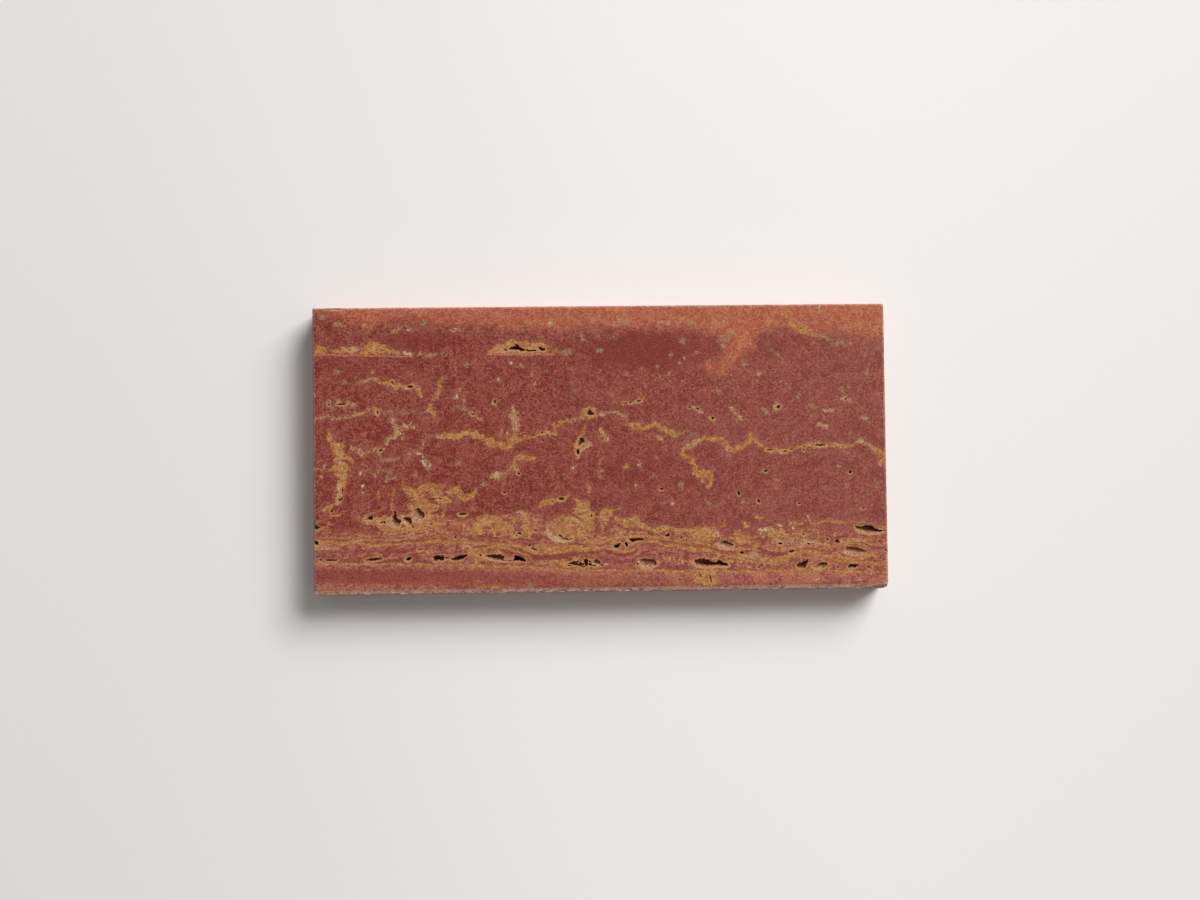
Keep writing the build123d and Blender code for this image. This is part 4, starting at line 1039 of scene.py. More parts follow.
@dataclass
class HollowCutter:
    """The cavities and the broken edges of the stone, as solids to cut out of the block."""

    slab: TileSlab
    chips: int = 70
    seed: int = 11
    clearance: float = 0.5 * MM
    # The ragged walls: the size of their noise, how far it moves them, and the width in millimetres that a
    # fully ragged hollow has
    wall_grain: float = 0.6 * MM
    ragged: float = 1.1 * MM
    wide: float = 1.5
    # How far the middle of a small cavity lies below the surface, as a share of its depth
    sink: float = 0.16
    # Each ring of a larger hollow, from above the mouth down: its depth, its size and its share of the lean
    rings: tuple = ((-0.8, 1.0, 0.0), (0.06, 1.0, 0.0), (0.3, 1.02, 0.3), (0.62, 0.88, 0.68),
                    (0.88, 0.62, 0.95), (1.0, 0.28, 1.0))

    def build(self, finishes: list[Material]) -> list[Object]:
        """Model every hollow.

        Args:
            finishes: The block's materials: the honed face, the sawn stone and the cavity lining.

        Returns:
            Solids to cut out one after the other, each of hollows that lie clear of one another.
        """
        hollows = [self._cavity(cavity, True) for cavity in CAVITIES]
        hollows += [self._cavity(cavity, False) for cavity in BACK_CAVITIES]
        hollows += [self._cavern(cavern) for cavern in CAVERNS]
        lined = len(hollows)
        hollows += [self._nick(nick) for nick in (*NICKS, *self._chips())]
        for index, hollow in enumerate(hollows):
            for finish in finishes:
                hollow.data.materials.append(finish)
            surface = LINING if index < lined else SAWN
            hollow.data.polygons.foreach_set("material_index", [surface] * len(hollow.data.polygons))
            narrow = min(hollow.dimensions.x, hollow.dimensions.y) / MM
            weigh(hollow, np.full(len(hollow.data.vertices), min(1.0, max(0.2, narrow / self.wide))))
        cutters = []
        for group in self._groups(hollows):
            select_only(*group[1:], group[0])
            bpy.ops.object.join()
            cutters.append(bpy.context.object)
            roughen(cutters[-1], self.wall_grain, self.ragged, 0.5)
        return cutters

    def _groups(self, hollows: list[Object]) -> list[list[Object]]:
        """Sort the hollows into groups in which each lies clear of the others."""
        groups: list[list] = []
        for hollow in hollows:
            corners = np.array([hollow.matrix_world @ Vector(corner) for corner in hollow.bound_box])
            low, high = corners.min(0) - self.clearance, corners.max(0) + self.clearance
            for group in groups:
                if all((low > top).any() or (high < bottom).any() for _, bottom, top in group):
                    group.append((hollow, low, high))
                    break
            else:
                groups.append([(hollow, low, high)])
        return [[hollow for hollow, _, _ in group] for group in groups]

    def _cavity(self, cavity: Cavity, honed: bool) -> Object:
        """Model one small cavity: a lens of air just under the surface.

        Args:
            cavity: Its place and sizes in millimetres.
            honed: True on the honed face, False on the back.
        """
        sink = self.sink * cavity.depth
        half_depth = cavity.depth - sink
        widen = 1 / math.sqrt(1 - (sink / half_depth) ** 2)
        surface = self.slab.high.z - sink * MM if honed else self.slab.low.z + sink * MM
        select_only()
        bpy.ops.mesh.primitive_ico_sphere_add(
            subdivisions=4 if cavity.length > 2.2 else 3, radius=MM,
            location=(cavity.x * MM, cavity.y * MM, surface), rotation=(0, 0, math.radians(cavity.turn)),
            scale=(widen * cavity.length / 2, widen * cavity.width / 2, half_depth))
        bpy.ops.object.transform_apply(location=True, rotation=True, scale=True)
        return bpy.context.object

    def _cavern(self, cavern: Cavern) -> Object:
        """Model one larger hollow: its mouth drawn down ring by ring, in fine cells."""
        select_only()
        bpy.ops.mesh.primitive_circle_add(vertices=len(cavern.mouth), radius=MM, fill_type="NGON")
        hollow = bpy.context.object
        top = self.slab.high.z - self.rings[0][0] * MM
        for vertex, (x, y) in zip(hollow.data.vertices, cavern.mouth):
            vertex.co = (x * MM, y * MM, top)
        bpy.ops.object.mode_set(mode="EDIT")
        bpy.ops.mesh.select_mode(type="FACE")
        bpy.ops.mesh.select_all(action="SELECT")
        depth, size, lean = self.rings[0][0], 1.0, 0.0
        centre = Vector((cavern.x * MM, cavern.y * MM, top))
        for next_depth, next_size, next_lean in self.rings[1:]:
            fall = (next_depth * cavern.depth if next_depth > 0 else next_depth) - depth
            shift = next_lean - lean
            step = Vector((shift * cavern.lean[0], shift * cavern.lean[1], -fall)) * MM
            bpy.ops.mesh.extrude_region()
            bpy.ops.transform.translate(value=step)
            centre += step
            share = next_size / size
            bpy.ops.transform.resize(value=(share, share, 1), center_override=centre)
            depth, size, lean = depth + fall, next_size, next_lean
        bpy.ops.mesh.select_all(action="SELECT")
        bpy.ops.mesh.normals_make_consistent(inside=False)
        bpy.ops.object.mode_set(mode="OBJECT")
        cells = hollow.modifiers.new("cells", "SUBSURF")
        cells.subdivision_type = "SIMPLE"
        cells.levels = cells.render_levels = 1
        bpy.ops.object.modifier_apply(modifier=cells.name)
        return hollow

    def _nick(self, nick: tuple[float, float, float, float, float]) -> Object:
        """Model one flake that has come off the face's edge."""
        x, y, half_length, half_width, depth = nick
        select_only()
        bpy.ops.mesh.primitive_ico_sphere_add(
            subdivisions=3 if half_length > 0.6 else 2, radius=MM,
            location=(x * MM, y * MM, self.slab.high.z), scale=(half_length, half_width, depth))
        bpy.ops.object.transform_apply(location=True, rotation=True, scale=True)
        return bpy.context.object

    def _chips(self) -> list[tuple[float, float, float, float, float]]:
        """Small chips spread along the four edges of the honed face."""
        draw = np.random.default_rng(self.seed)
        half = np.array(self.slab.size) / MM / 2
        found = []
        for _ in range(self.chips):
            around = draw.uniform(0, 2 * (half[0] + half[1]))
            inset = draw.uniform(-0.05, 0.75)
            side = draw.choice((-1, 1))
            long, short, deep = draw.uniform(0.25, 0.8), draw.uniform(0.12, 0.3), draw.uniform(0.1, 0.3)
            if around < 2 * half[0]:
                found.append((around - half[0], side * (half[1] - inset), long, short, deep))
            else:
                found.append((side * (half[0] - inset), around - 2 * half[0] - half[1], short, long, deep))
        return found


@dataclass
class StoneTile:
    """The whole tile: its block with the hollows cut out, and the stone's features marked on its mesh."""

    slab: TileSlab
    finishes: list[Material]
    # The angle in degrees over which an edge stays sharp
    sharp: float = 38.0

    def build(self) -> Object:
        """Model the tile.

        Returns:
            The finished piece, with its materials and its attributes.
        """
        piece = self.slab.build()
        for finish in self.finishes:
            piece.data.materials.append(finish)
        places = self.slab.places(piece.data.polygons)
        honed = places[:, 2] < 0.3 * self.slab.face_arris / MM
        piece.data.polygons.foreach_set("material_index", np.where(honed, HONED, SAWN).astype(np.int32))
        for cutter in HollowCutter(self.slab).build(self.finishes):
            select_only(piece)
            cut = piece.modifiers.new("hollows", "BOOLEAN")
            cut.operation = "DIFFERENCE"
            cut.solver = "MANIFOLD"
            cut.object = cutter
            bpy.ops.object.modifier_apply(modifier=cut.name)
            bpy.data.objects.remove(cutter)
        select_only(piece)
        bpy.ops.object.shade_smooth_by_angle(angle=math.radians(self.sharp))
        self._mark(piece)
        return piece

    def _mark(self, piece: Object) -> None:
        """Write the stone's features onto the mesh, for the materials to read."""
        places = self.slab.places(piece.data.vertices)
        field = StoneField(places[:, 0], places[:, 1], places[:, 2])
        for mineral in Mineral:
            self._attribute(piece, mineral.name.lower(), field.mineral(mineral))
        self._attribute(piece, "bedding", field.bedding())
        self._attribute(piece, "zones", field.zones())
        mouth = self._mouth_distance(piece)
        # The wear attribute holds the distance from the edge, the distance from a cavity's mouth and the lip
        # strength, which is painted light where it is raised on the lower left of each hollow
        self._attribute(piece, "wear", np.stack([self.slab.edge_distance(places), mouth, field.lips()], 1))
        clay, seams = field.lines(CLAY_LAYERS, CLAY_WIDTH), field.lines(SEAMS, SEAM_WIDTH)
        self._attribute(piece, "clay", np.stack([clay, seams, field.flushes()], 1))

    def _attribute(self, piece: Object, name: str, rows: np.ndarray) -> None:
        """Store a row of three numbers for each vertex."""
        layer = piece.data.attributes.new(name, "FLOAT_VECTOR", "POINT")
        layer.data.foreach_set("vector", rows.astype(np.float32).ravel())

    def _mouth_distance(self, piece: Object) -> np.ndarray:
        """How far each vertex is from the nearest mouth of a cavity, in millimetres."""
        mesh = piece.data
        surface = np.empty(len(mesh.polygons), np.int32)
        mesh.polygons.foreach_get("material_index", surface)
        corners = np.empty(len(mesh.loops), np.int32)
        mesh.loops.foreach_get("vertex_index", corners)
        sizes = np.empty(len(mesh.polygons), np.int32)
        mesh.polygons.foreach_get("loop_total", sizes)
        lined = np.repeat(surface == LINING, sizes)
        inside, outside = np.zeros((2, len(mesh.vertices)), bool)
        inside[corners[lined]] = True
        outside[corners[~lined]] = True
        rim = np.flatnonzero(inside & outside)
        tree = KDTree(len(rim))
        for index in rim:
            tree.insert(mesh.vertices[index].co, int(index))
        tree.balance()
        return np.array([min(FAR, tree.find(vertex.co)[2] / MM) for vertex in mesh.vertices])


class Graph:
    """Adds nodes to a node tree, each linked to its inputs as it is added."""

    def __init__(self, tree: NodeTree) -> None:
        """Start on a tree."""
        self.tree = tree

    def add(self, kind: str, inputs: dict, **settings) -> Node:
        """Add one node.

        Args:
            kind: The node's type, without ShaderNode.
            inputs: A socket or a plain value for each input, by name or place.
            settings: The node's own properties.

        Returns:
            The node.
        """
        node = self.tree.nodes.new("ShaderNode" + kind)
        for name, value in settings.items():
            setattr(node, name, value)
        for name, value in inputs.items():
            if isinstance(value, NodeSocket):
                self.tree.links.new(value, node.inputs[name])
            else:
                node.inputs[name].default_value = value
        return node

    def math(self, operation: str, *values) -> NodeSocket:
        """The result of one sum."""
        return self.add("Math", dict(enumerate(values)), operation=operation).outputs[0]

    def times(self, first, second) -> NodeSocket:
        """One value times another."""
        return self.math("MULTIPLY", first, second)

    def scaled(self, value, scale, start) -> NodeSocket:
        """A value times a scale, added to a start."""
        return self.math("MULTIPLY_ADD", value, scale, start)

    def smooth(self, value, low: float, high: float) -> NodeSocket:
        """A soft step from 0 at low to 1 at high, where low may be over high."""
        ends = {"Value": value, "From Min": low, "From Max": high}
        return self.add("MapRange", ends, interpolation_type="SMOOTHSTEP").outputs[0]

    def ridge(self, value, middle: float, width: float) -> NodeSocket:
        """A thin line, 1 where the value is at the middle and 0 where it is a width away."""
        return self.smooth(self.math("ABSOLUTE", self.math("SUBTRACT", value, middle)), width, 0.0)

    def mix(self, share, first, second) -> NodeSocket:
        """Two colours mixed, the second by its share."""
        return self.add("Mix", {0: share, 6: first, 7: second}, data_type="RGBA").outputs[2]

    def over(self, color, mask, strength: float, second) -> NodeSocket:
        """A colour with a second one laid over it by a mask, at a strength."""
        return self.mix(self.times(mask, strength), color, second)

    def noise(self, place, scale: float, detail: float = 2.0, rough: float = 0.5) -> NodeSocket:
        """Soft noise about 0.5, with this many grains in a millimetre."""
        inputs = {"Vector": place, "Scale": scale, "Detail": detail, "Roughness": rough}
        return self.add("TexNoise", inputs).outputs[0]

    def cells(self, place, scale: float) -> tuple[NodeSocket, NodeSocket]:
        """The distance from scattered points, in cells, and a random number for each cell."""
        cell = self.add("TexVoronoi", {"Vector": place, "Scale": scale})
        return cell.outputs["Distance"], self.split(cell.outputs["Color"])[0]

    def split(self, vector) -> NodeOutputs:
        """The three parts of a vector."""
        return self.add("SeparateXYZ", {0: vector}).outputs

    def vector(self, x, y, z) -> NodeSocket:
        """A vector from its parts."""
        return self.add("CombineXYZ", {0: x, 1: y, 2: z}).outputs[0]

    def stretch(self, place, scale: tuple[float, float, float]) -> NodeSocket:
        """A place with each of its parts scaled."""
        return self.add("VectorMath", {0: place, 1: scale}, operation="MULTIPLY").outputs[0]

    def warp(self, place, scale: float, amount: float) -> NodeSocket:
        """A place moved by noise, by up to half the amount, so that what is drawn there gets ragged."""
        shift = self.add("TexNoise", {"Vector": place, "Scale": scale, "Detail": 2.0}).outputs["Color"]
        moved = self.add("VectorMath", {0: shift, 1: (amount,) * 3}, operation="MULTIPLY").outputs[0]
        return self.add("VectorMath", {0: place, 1: moved}, operation="ADD").outputs[0]

    def group(self, tree: NodeTree, **inputs) -> NodeOutputs:
        """Place a node group and return its outputs."""
        node = self.tree.nodes.new("ShaderNodeGroup")
        node.node_tree = tree
        for name, value in inputs.items():
            if isinstance(value, NodeSocket):
                self.tree.links.new(value, node.inputs[name])
            else:
                node.inputs[name].default_value = value
        return node.outputs

    def attribute(self, name: str) -> NodeSocket:
        """One of the mesh's own attributes, as a vector."""
        return self.add("Attribute", {}, attribute_name=name).outputs["Vector"]


class Effect(Graph):
    """A shader node group that the finishes share, with what it is given by name."""

    def __init__(self, name: str, inputs: dict[str, str], outputs: dict[str, str]) -> None:
        """Make the empty group.

        Args:
            name: The group's name.
            inputs: The kind of each input, by name.
            outputs: The kind of each output, by name.
        """
        super().__init__(bpy.data.node_groups.new(name, "ShaderNodeTree"))
        for side, sockets in (("INPUT", inputs), ("OUTPUT", outputs)):
            for socket, kind in sockets.items():
                self.tree.interface.new_socket(name=socket, in_out=side, socket_type="NodeSocket" + kind)
        self.given = self.tree.nodes.new("NodeGroupInput").outputs

    def finish(self, **results) -> NodeTree:
        """Put out the results by name, and return the group."""
        end = self.tree.nodes.new("NodeGroupOutput")
        for name, socket in results.items():
            self.tree.links.new(socket, end.inputs[name])
        return self.tree


def mineral_mask() -> NodeTree:
    """The group that turns a depth inside a mineral into a ragged, grainy mask with a faint halo."""
    inputs = {"Field": "Vector", "Place": "Vector", "Ragged": "Float", "Soft": "Float", "Halo": "Float"}
    graph = Effect("mineral_mask", inputs, {"Mask": "Float"})
    place = graph.given["Place"]
    depth, strength, ragged = graph.split(graph.given["Field"])
    coarse = graph.math("SUBTRACT", graph.noise(place, 0.7, 2.0), 0.5)
    fine = graph.math("SUBTRACT", graph.noise(place, 1.7, 3.0, 0.75), 0.5)
    wander = graph.times(graph.math("ADD", coarse, fine), ragged)
    depth = graph.scaled(wander, graph.given["Ragged"], depth)
    core = graph.smooth(graph.scaled(graph.math("DIVIDE", depth, graph.given["Soft"]), 0.5, 0.5), 0.0, 1.0)
    halo = graph.times(graph.smooth(depth, -1.3, 0.2), graph.given["Halo"])
    grain = graph.scaled(strength, 0.42, graph.noise(place, 1.9, 3.0, 0.7))
    grain = graph.scaled(graph.noise(place, 0.4, 1.0), 0.5, grain)
    least = graph.times(strength, 0.62)
    cover = graph.math("MAXIMUM", graph.smooth(grain, 0.94, 1.06), least)
    full = graph.math("MAXIMUM", graph.times(core, cover), graph.times(halo, strength))
    return graph.finish(Mask=full)


def red_stone() -> NodeTree:
    """The group for the plain red stone: dark clots in a paler net, with small arcs, dots and olive blots."""
    graph = Effect("red_stone", {"Place": "Vector"}, {"Color": "Color", "Grain": "Float"})
    place = graph.given["Place"]
    curdled = graph.warp(place, 0.9, 1.3)
    clot, _ = graph.cells(curdled, 1.35)
    fine = graph.noise(graph.warp(place, 1.2, 0.8), 1.5, 3.0, 0.7)
    patches = graph.noise(place, 0.34, 4.0, 0.6)
    broad = graph.noise(place, 0.1, 2.0)
    arcs = graph.ridge(graph.noise(curdled, 0.85, 2.0), 0.52, 0.05)
    arcs = graph.times(arcs, graph.smooth(graph.noise(place, 0.5, 2.0), 0.36, 0.5))
    net = graph.times(graph.smooth(clot, 0.3, 0.66), graph.smooth(patches, 0.36, 0.6))
    light = graph.scaled(net, 0.34, graph.times(graph.smooth(fine, 0.38, 0.7), 0.72))
    color = graph.mix(light, srgb(103, 27, 15), srgb(160, 80, 71))
    color = graph.over(color, arcs, 0.7, srgb(174, 104, 88))
    color = graph.over(color, graph.smooth(patches, 0.5, 0.72), 0.35, srgb(150, 88, 70))
    color = graph.over(color, graph.smooth(patches, 0.48, 0.34), 0.35, srgb(118, 40, 32))
    east = graph.smooth(graph.split(place)[0], -40.0, 74.0)
    pale = graph.times(graph.scaled(graph.smooth(broad, 0.42, 0.66), 0.5, east), 0.2)
    color = graph.mix(pale, color, srgb(160, 98, 86))
    blot = graph.noise(graph.warp(place, 0.8, 1.6), 0.42, 3.0, 0.6)
    blot = graph.times(graph.smooth(blot, 0.6, 0.7), graph.smooth(fine, 0.34, 0.6))
    color = graph.over(color, blot, 0.6, srgb(152, 114, 84))
    spot, chance = graph.cells(place, 1.0)
    along, across, _ = graph.split(place)
    lift = graph.scaled(graph.noise(place, 0.16, 1.0), 8.0, across)
    belt = graph.times(graph.smooth(along, 2.0, 12.0), graph.smooth(along, 66.0, 50.0))
    belt = graph.times(graph.ridge(lift, 21.2, 3.4), belt)
    dot = graph.times(graph.smooth(spot, 0.32, 0.16), graph.smooth(chance, 0.4, 0.62))
    color = graph.over(color, graph.times(dot, belt), 0.75, srgb(196, 142, 120))
    return graph.finish(Color=color, Grain=fine)


def layered_stone() -> NodeTree:
    """The group for the porous stone: pink stone with thin ochre and dark layers that follow the beds."""
    graph = Effect("layered_stone", {"Place": "Vector", "Bedding": "Vector"}, {"Color": "Color"})
    place = graph.given["Place"]
    along, height, _ = graph.split(graph.given["Bedding"])
    sway = graph.math("SUBTRACT", graph.noise(graph.stretch(place, (0.16, 0.45, 0.4)), 1.0, 3.0), 0.5)
    lifted = graph.scaled(sway, 3.0, height)
    inward = graph.times(graph.split(place)[2], 0.3)
    strata = graph.vector(graph.times(along, 0.06), lifted, inward)
    layer = graph.noise(strata, 0.6, 3.0, 0.6)
    lamina = graph.noise(strata, 1.5, 3.0, 0.6)
    mottle = graph.noise(graph.warp(place, 0.8, 1.4), 0.9, 4.0, 0.65)
    fibre = graph.noise(graph.vector(graph.times(along, 0.35), lifted, inward), 1.6, 4.0, 0.6)
    pink = graph.smooth(graph.math("ADD", mottle, fibre), 0.8, 1.2)
    color = graph.mix(pink, srgb(130, 58, 44), srgb(172, 104, 88))
    color = graph.over(color, graph.smooth(layer, 0.46, 0.38), 0.7, srgb(126, 54, 46))
    gold = graph.mix(graph.smooth(mottle, 0.36, 0.64), srgb(164, 104, 62), srgb(196, 144, 92))
    edge = graph.scaled(graph.math("SUBTRACT", mottle, 0.5), 0.5, layer)
    color = graph.over(color, graph.smooth(edge, 0.595, 0.625), 0.75, gold)
    line = graph.times(graph.ridge(lamina, 0.54, 0.025), graph.smooth(mottle, 0.42, 0.54))
    color = graph.over(color, line, 0.8, srgb(190, 134, 88))
    return graph.finish(Color=color)


def base_stone() -> NodeTree:
    """The group for the dense base layer: mottled pinkish red, darker along its middle, orange in places."""
    graph = Effect("base_stone", {"Place": "Vector", "Below": "Float"}, {"Color": "Color"})
    place = graph.given["Place"]
    patches = graph.noise(graph.stretch(graph.warp(place, 0.5, 2.0), (0.2, 0.34, 0.34)), 1.0, 4.0, 0.6)
    grain = graph.noise(graph.warp(place, 0.9, 1.0), 1.3, 4.0, 0.65)
    color = graph.mix(graph.smooth(grain, 0.34, 0.66), srgb(132, 57, 44), srgb(181, 113, 97))
    east = graph.smooth(graph.split(place)[0], -60.0, 60.0)
    warm = graph.times(graph.smooth(patches, 0.42, 0.66), graph.scaled(east, 0.55, 0.34))
    color = graph.mix(warm, color, srgb(188, 120, 88))
    below = graph.given["Below"]
    middle = graph.times(graph.smooth(below, 0.4, 2.4), graph.smooth(below, 6.4, 4.2))
    dark = graph.times(middle, graph.scaled(east, -0.5, 0.7))
    color = graph.mix(dark, color, srgb(130, 54, 48))
    return graph.finish(Color=color)


def travertine() -> NodeTree:
    """The group for the whole stone, which lays every layer and mineral over the last."""
    minerals = [mineral.name.title() for mineral in Mineral]
    fields = ("Place", "Bedding", "Zones", "Clay", *minerals)
    graph = Effect("travertine", dict.fromkeys(fields, "Vector"),
                   {"Color": "Color", "Grain": "Float", "Chalk": "Float"})
    place = graph.given["Place"]
    red, grain = graph.group(red_stone(), Place=place)
    layered, = graph.group(layered_stone(), Place=place, Bedding=graph.given["Bedding"])
    below, wash, band = graph.split(graph.given["Zones"])
    clay, seam, flush = graph.split(graph.given["Clay"])
    base, = graph.group(base_stone(), Place=place, Below=below)
    ragged = graph.math("SUBTRACT", graph.noise(graph.warp(place, 0.8, 1.0), 0.5, 4.0, 0.6), 0.5)
    color = graph.over(red, graph.smooth(wash, -0.1, -0.9), 0.8, srgb(120, 44, 38))
    color = graph.over(color, graph.smooth(flush, 0.2, 0.6), 0.6, srgb(190, 96, 76))
    porous = graph.scaled(ragged, 5.0, graph.split(graph.given["Bedding"])[2])
    color = graph.mix(graph.smooth(porous, -0.6, 1.4), color, layered)
    color = graph.mix(graph.smooth(graph.scaled(ragged, 0.8, below), -0.2, 0.3), color, base)

    mottle = graph.noise(graph.warp(place, 0.7, 1.5), 0.6, 4.0, 0.65)
    speck = graph.noise(graph.warp(place, 1.1, 0.8), 1.3, 3.0, 0.7)
    orange = graph.mix(graph.smooth(speck, 0.26, 0.74), srgb(154, 68, 40), srgb(188, 112, 86))
    orange = graph.over(orange, graph.smooth(mottle, 0.5, 0.62), 0.6, srgb(190, 126, 86))
    orange = graph.over(orange, graph.smooth(mottle, 0.46, 0.34), 0.5, srgb(158, 78, 58))
    band = graph.scaled(ragged, 6.0, graph.scaled(speck, 2.4, band))
    color = graph.over(color, graph.smooth(band, -1.0, 3.2), 0.94, orange)

    flakes = graph.noise(graph.warp(graph.stretch(place, (0.5, 1.1, 0.6)), 0.9, 1.2), 0.6, 5.0, 0.62)
    ochre = graph.mix(graph.smooth(mottle, 0.36, 0.64), srgb(160, 100, 60), srgb(190, 138, 88))
    speckle = graph.smooth(graph.scaled(wash, 0.24, flakes), 0.62, 0.67)
    color = graph.mix(graph.times(speckle, graph.smooth(wash, 0.1, 0.45)), color, ochre)
    layer = graph.smooth(graph.scaled(ragged, 1.4, clay), -0.3, 0.35)
    color = graph.over(color, layer, 0.8, srgb(122, 50, 46))
    color = graph.over(color, graph.smooth(seam, -0.12, 0.08), 0.75, srgb(194, 118, 96))

    mask = mineral_mask()
    hue = graph.noise(graph.warp(place, 1.0, 0.9), 1.2, 4.0, 0.7)
    looks = {
        "Grey": (2.6, 0.3, 0.0, srgb(134, 98, 68), srgb(164, 128, 94)),
        "Ochre": (2.1, 0.14, 0.12, srgb(148, 86, 46), srgb(194, 140, 84)),
        "Cream": (2.4, 0.16, 0.1, srgb(156, 110, 72), srgb(198, 156, 116)),
    }
    masks = {}
    bright = graph.smooth(graph.split(graph.given["Cream"])[1], 0.74, 0.9)
    for name, (wander, soft, halo, dark, light) in looks.items():
        field = graph.given[name]
        masks[name], = graph.group(mask, Field=field, Place=place, Ragged=wander, Soft=soft, Halo=halo)
        color = graph.mix(masks[name], color, graph.mix(graph.smooth(hue, 0.32, 0.66), dark, light))
    color = graph.over(color, graph.times(masks["Cream"], bright), 0.7, srgb(216, 184, 156))
    crumbs = graph.noise(place, 2.3, 2.0, 0.6)
    tone = graph.scaled(graph.smooth(crumbs, 0.3, 0.7), 0.66, 0.655)
    color = graph.add("HueSaturation", {"Color": color, "Value": tone}).outputs[0]
    return graph.finish(Color=color, Grain=grain, Chalk=graph.math("MAXIMUM", masks["Ochre"], masks["Cream"]))


def stone_dust() -> NodeTree:
    """The group for pale stone dust in the grain of a worn or sawn surface, by the amount it is given; along
    the shaded lower edge the extra dust is painted light.
    """
    graph = Effect("stone_dust", {"Color": "Color", "Place": "Vector", "Amount": "Float"}, {"Color": "Color"})
    grain = graph.noise(graph.given["Place"], 1.6, 4.0, 0.65)
    share = graph.times(graph.smooth(grain, 0.25, 0.7), graph.given["Amount"])
    return graph.finish(Color=graph.mix(share, graph.given["Color"], srgb(216, 194, 180)))


@dataclass(frozen=True)
class Finish:
    """One finish of the stone, as the Principled shader's plain values and the depth of its relief."""

    name: str
    roughness: float
    specular: float
    relief: float
    # How much rougher its roughest grains are
    roughening: float = 0.16

    def build(self, groups: dict[str, NodeTree]) -> Material:
        """Make the material: the stone's own colour, and the finish over it.

        Args:
            groups: The shared node groups by name.

        Returns:
            The material.
        """
        material = bpy.data.materials.new(self.name)
        material.use_nodes = True
        graph = Graph(material.node_tree)
        shader = material.node_tree.nodes["Principled BSDF"]
        shader.inputs["Specular IOR Level"].default_value = self.specular
        objects = graph.add("TexCoord", {}).outputs["Object"]
        place = graph.stretch(objects, (1 / MM,) * 3)
        fields = {mineral.name.title(): graph.attribute(mineral.name.lower()) for mineral in Mineral}
        stone = graph.group(groups["travertine"], Place=place, Bedding=graph.attribute("bedding"),
                            Zones=graph.attribute("zones"), Clay=graph.attribute("clay"), **fields)
        # The lip strength is partly painted light: raised on the lower left of each hollow
        edge, mouth, lip = graph.split(graph.attribute("wear"))
        found = {"place": place, "color": stone[0], "grain": stone[1], "chalk": stone[2],
                 "edge": edge, "mouth": mouth, "lip": lip}
        color, height, rough = self.dress(graph, found, groups["stone_dust"])
        graph.tree.links.new(color, shader.inputs["Base Color"])
        graph.tree.links.new(graph.scaled(rough, self.roughening, self.roughness), shader.inputs["Roughness"])
        bump = graph.add("Bump", {"Height": height, "Distance": self.relief, "Strength": 1.0})
        graph.tree.links.new(bump.outputs[0], shader.inputs["Normal"])
        return material

    def dress(self, graph: Graph, found: dict, dust: NodeTree) -> tuple:
        """Lay the finish over the plain stone.

        Args:
            graph: The graph on the material's tree.
            found: What the stone gives here, by name.
            dust: The group for stone dust, which along the shaded lower edge also lays painted light.

        Returns:
            The colour, the relief from 0 to 1, and the change of roughness over the surface from 0 to 1.
        """
        return found["color"], found["grain"], found["grain"]


@dataclass(frozen=True)
class HonedFinish(Finish):
    """The honed face: smooth, with a matt sheen, pale lips round the cavities, painted palest on their lower
    left as painted light, and pale dust on its worn edges, thickest along the shaded lower long edge, where it
    is partly dust and partly painted light.
    """

    def dress(self, graph: Graph, found: dict, dust: NodeTree) -> tuple:
        """Lay this finish over the plain stone."""
        place = found["place"]
        ragged = graph.scaled(graph.noise(place, 1.8, 3.0, 0.6), 0.9, -0.45)
        # Painted light: pale crystal round each mouth, painted paler on the lower left of the rim, where the
        # light falls into the hollow
        lip = graph.smooth(graph.math("ADD", found["mouth"], ragged), 0.7, 0.1)
        pale = graph.times(lip, graph.times(found["lip"], 1.5))
        color = graph.mix(graph.math("MINIMUM", pale, 0.9), found["color"], srgb(194, 142, 98))
        # Painted light: the worn strip is widened and dusted paler along the lower long edge, which faces away
        # from the light, and dusted less on the lit edges
        lower = graph.smooth(graph.split(place)[1], -35.8, -36.8)
        edge = graph.scaled(lower, -0.45, found["edge"])
        worn = graph.smooth(graph.scaled(ragged, 0.4, edge), 0.75, 0.4)
        amount = graph.times(worn, graph.scaled(lower, 0.65, 0.3))
        color, = graph.group(dust, Color=color, Place=place, Amount=amount)
        height = graph.scaled(found["chalk"], -0.4, found["grain"])
        return color, height, found["chalk"]


@dataclass(frozen=True)
class SawnFinish(Finish):
    """The sawn sides and back and the worn edge: rougher, with the saw's fine lines and pale dust, laid thicker
    along the lower long edge, which lies in shade, as painted light.
    """

    dusting: float = 0.35

    def dress(self, graph: Graph, found: dict, dust: NodeTree) -> tuple:
        """Lay this finish over the plain stone."""
        place = found["place"]
        lines = graph.noise(graph.stretch(place, (0.12, 0.12, 5.0)), 1.0, 3.0, 0.7)
        # Painted light: extra pale dust on the eased edge and side along the lower long edge, which faces away
        # from the light
        lower = graph.smooth(graph.split(place)[1], -35.8, -37.2)
        worn = graph.times(graph.smooth(found["edge"], 1.3, 0.4), lower)
        amount = graph.scaled(worn, 0.65, self.dusting)
        color, = graph.group(dust, Color=found["color"], Place=place, Amount=amount)
        height = graph.scaled(lines, 0.5, found["grain"])
        return color, height, found["grain"]


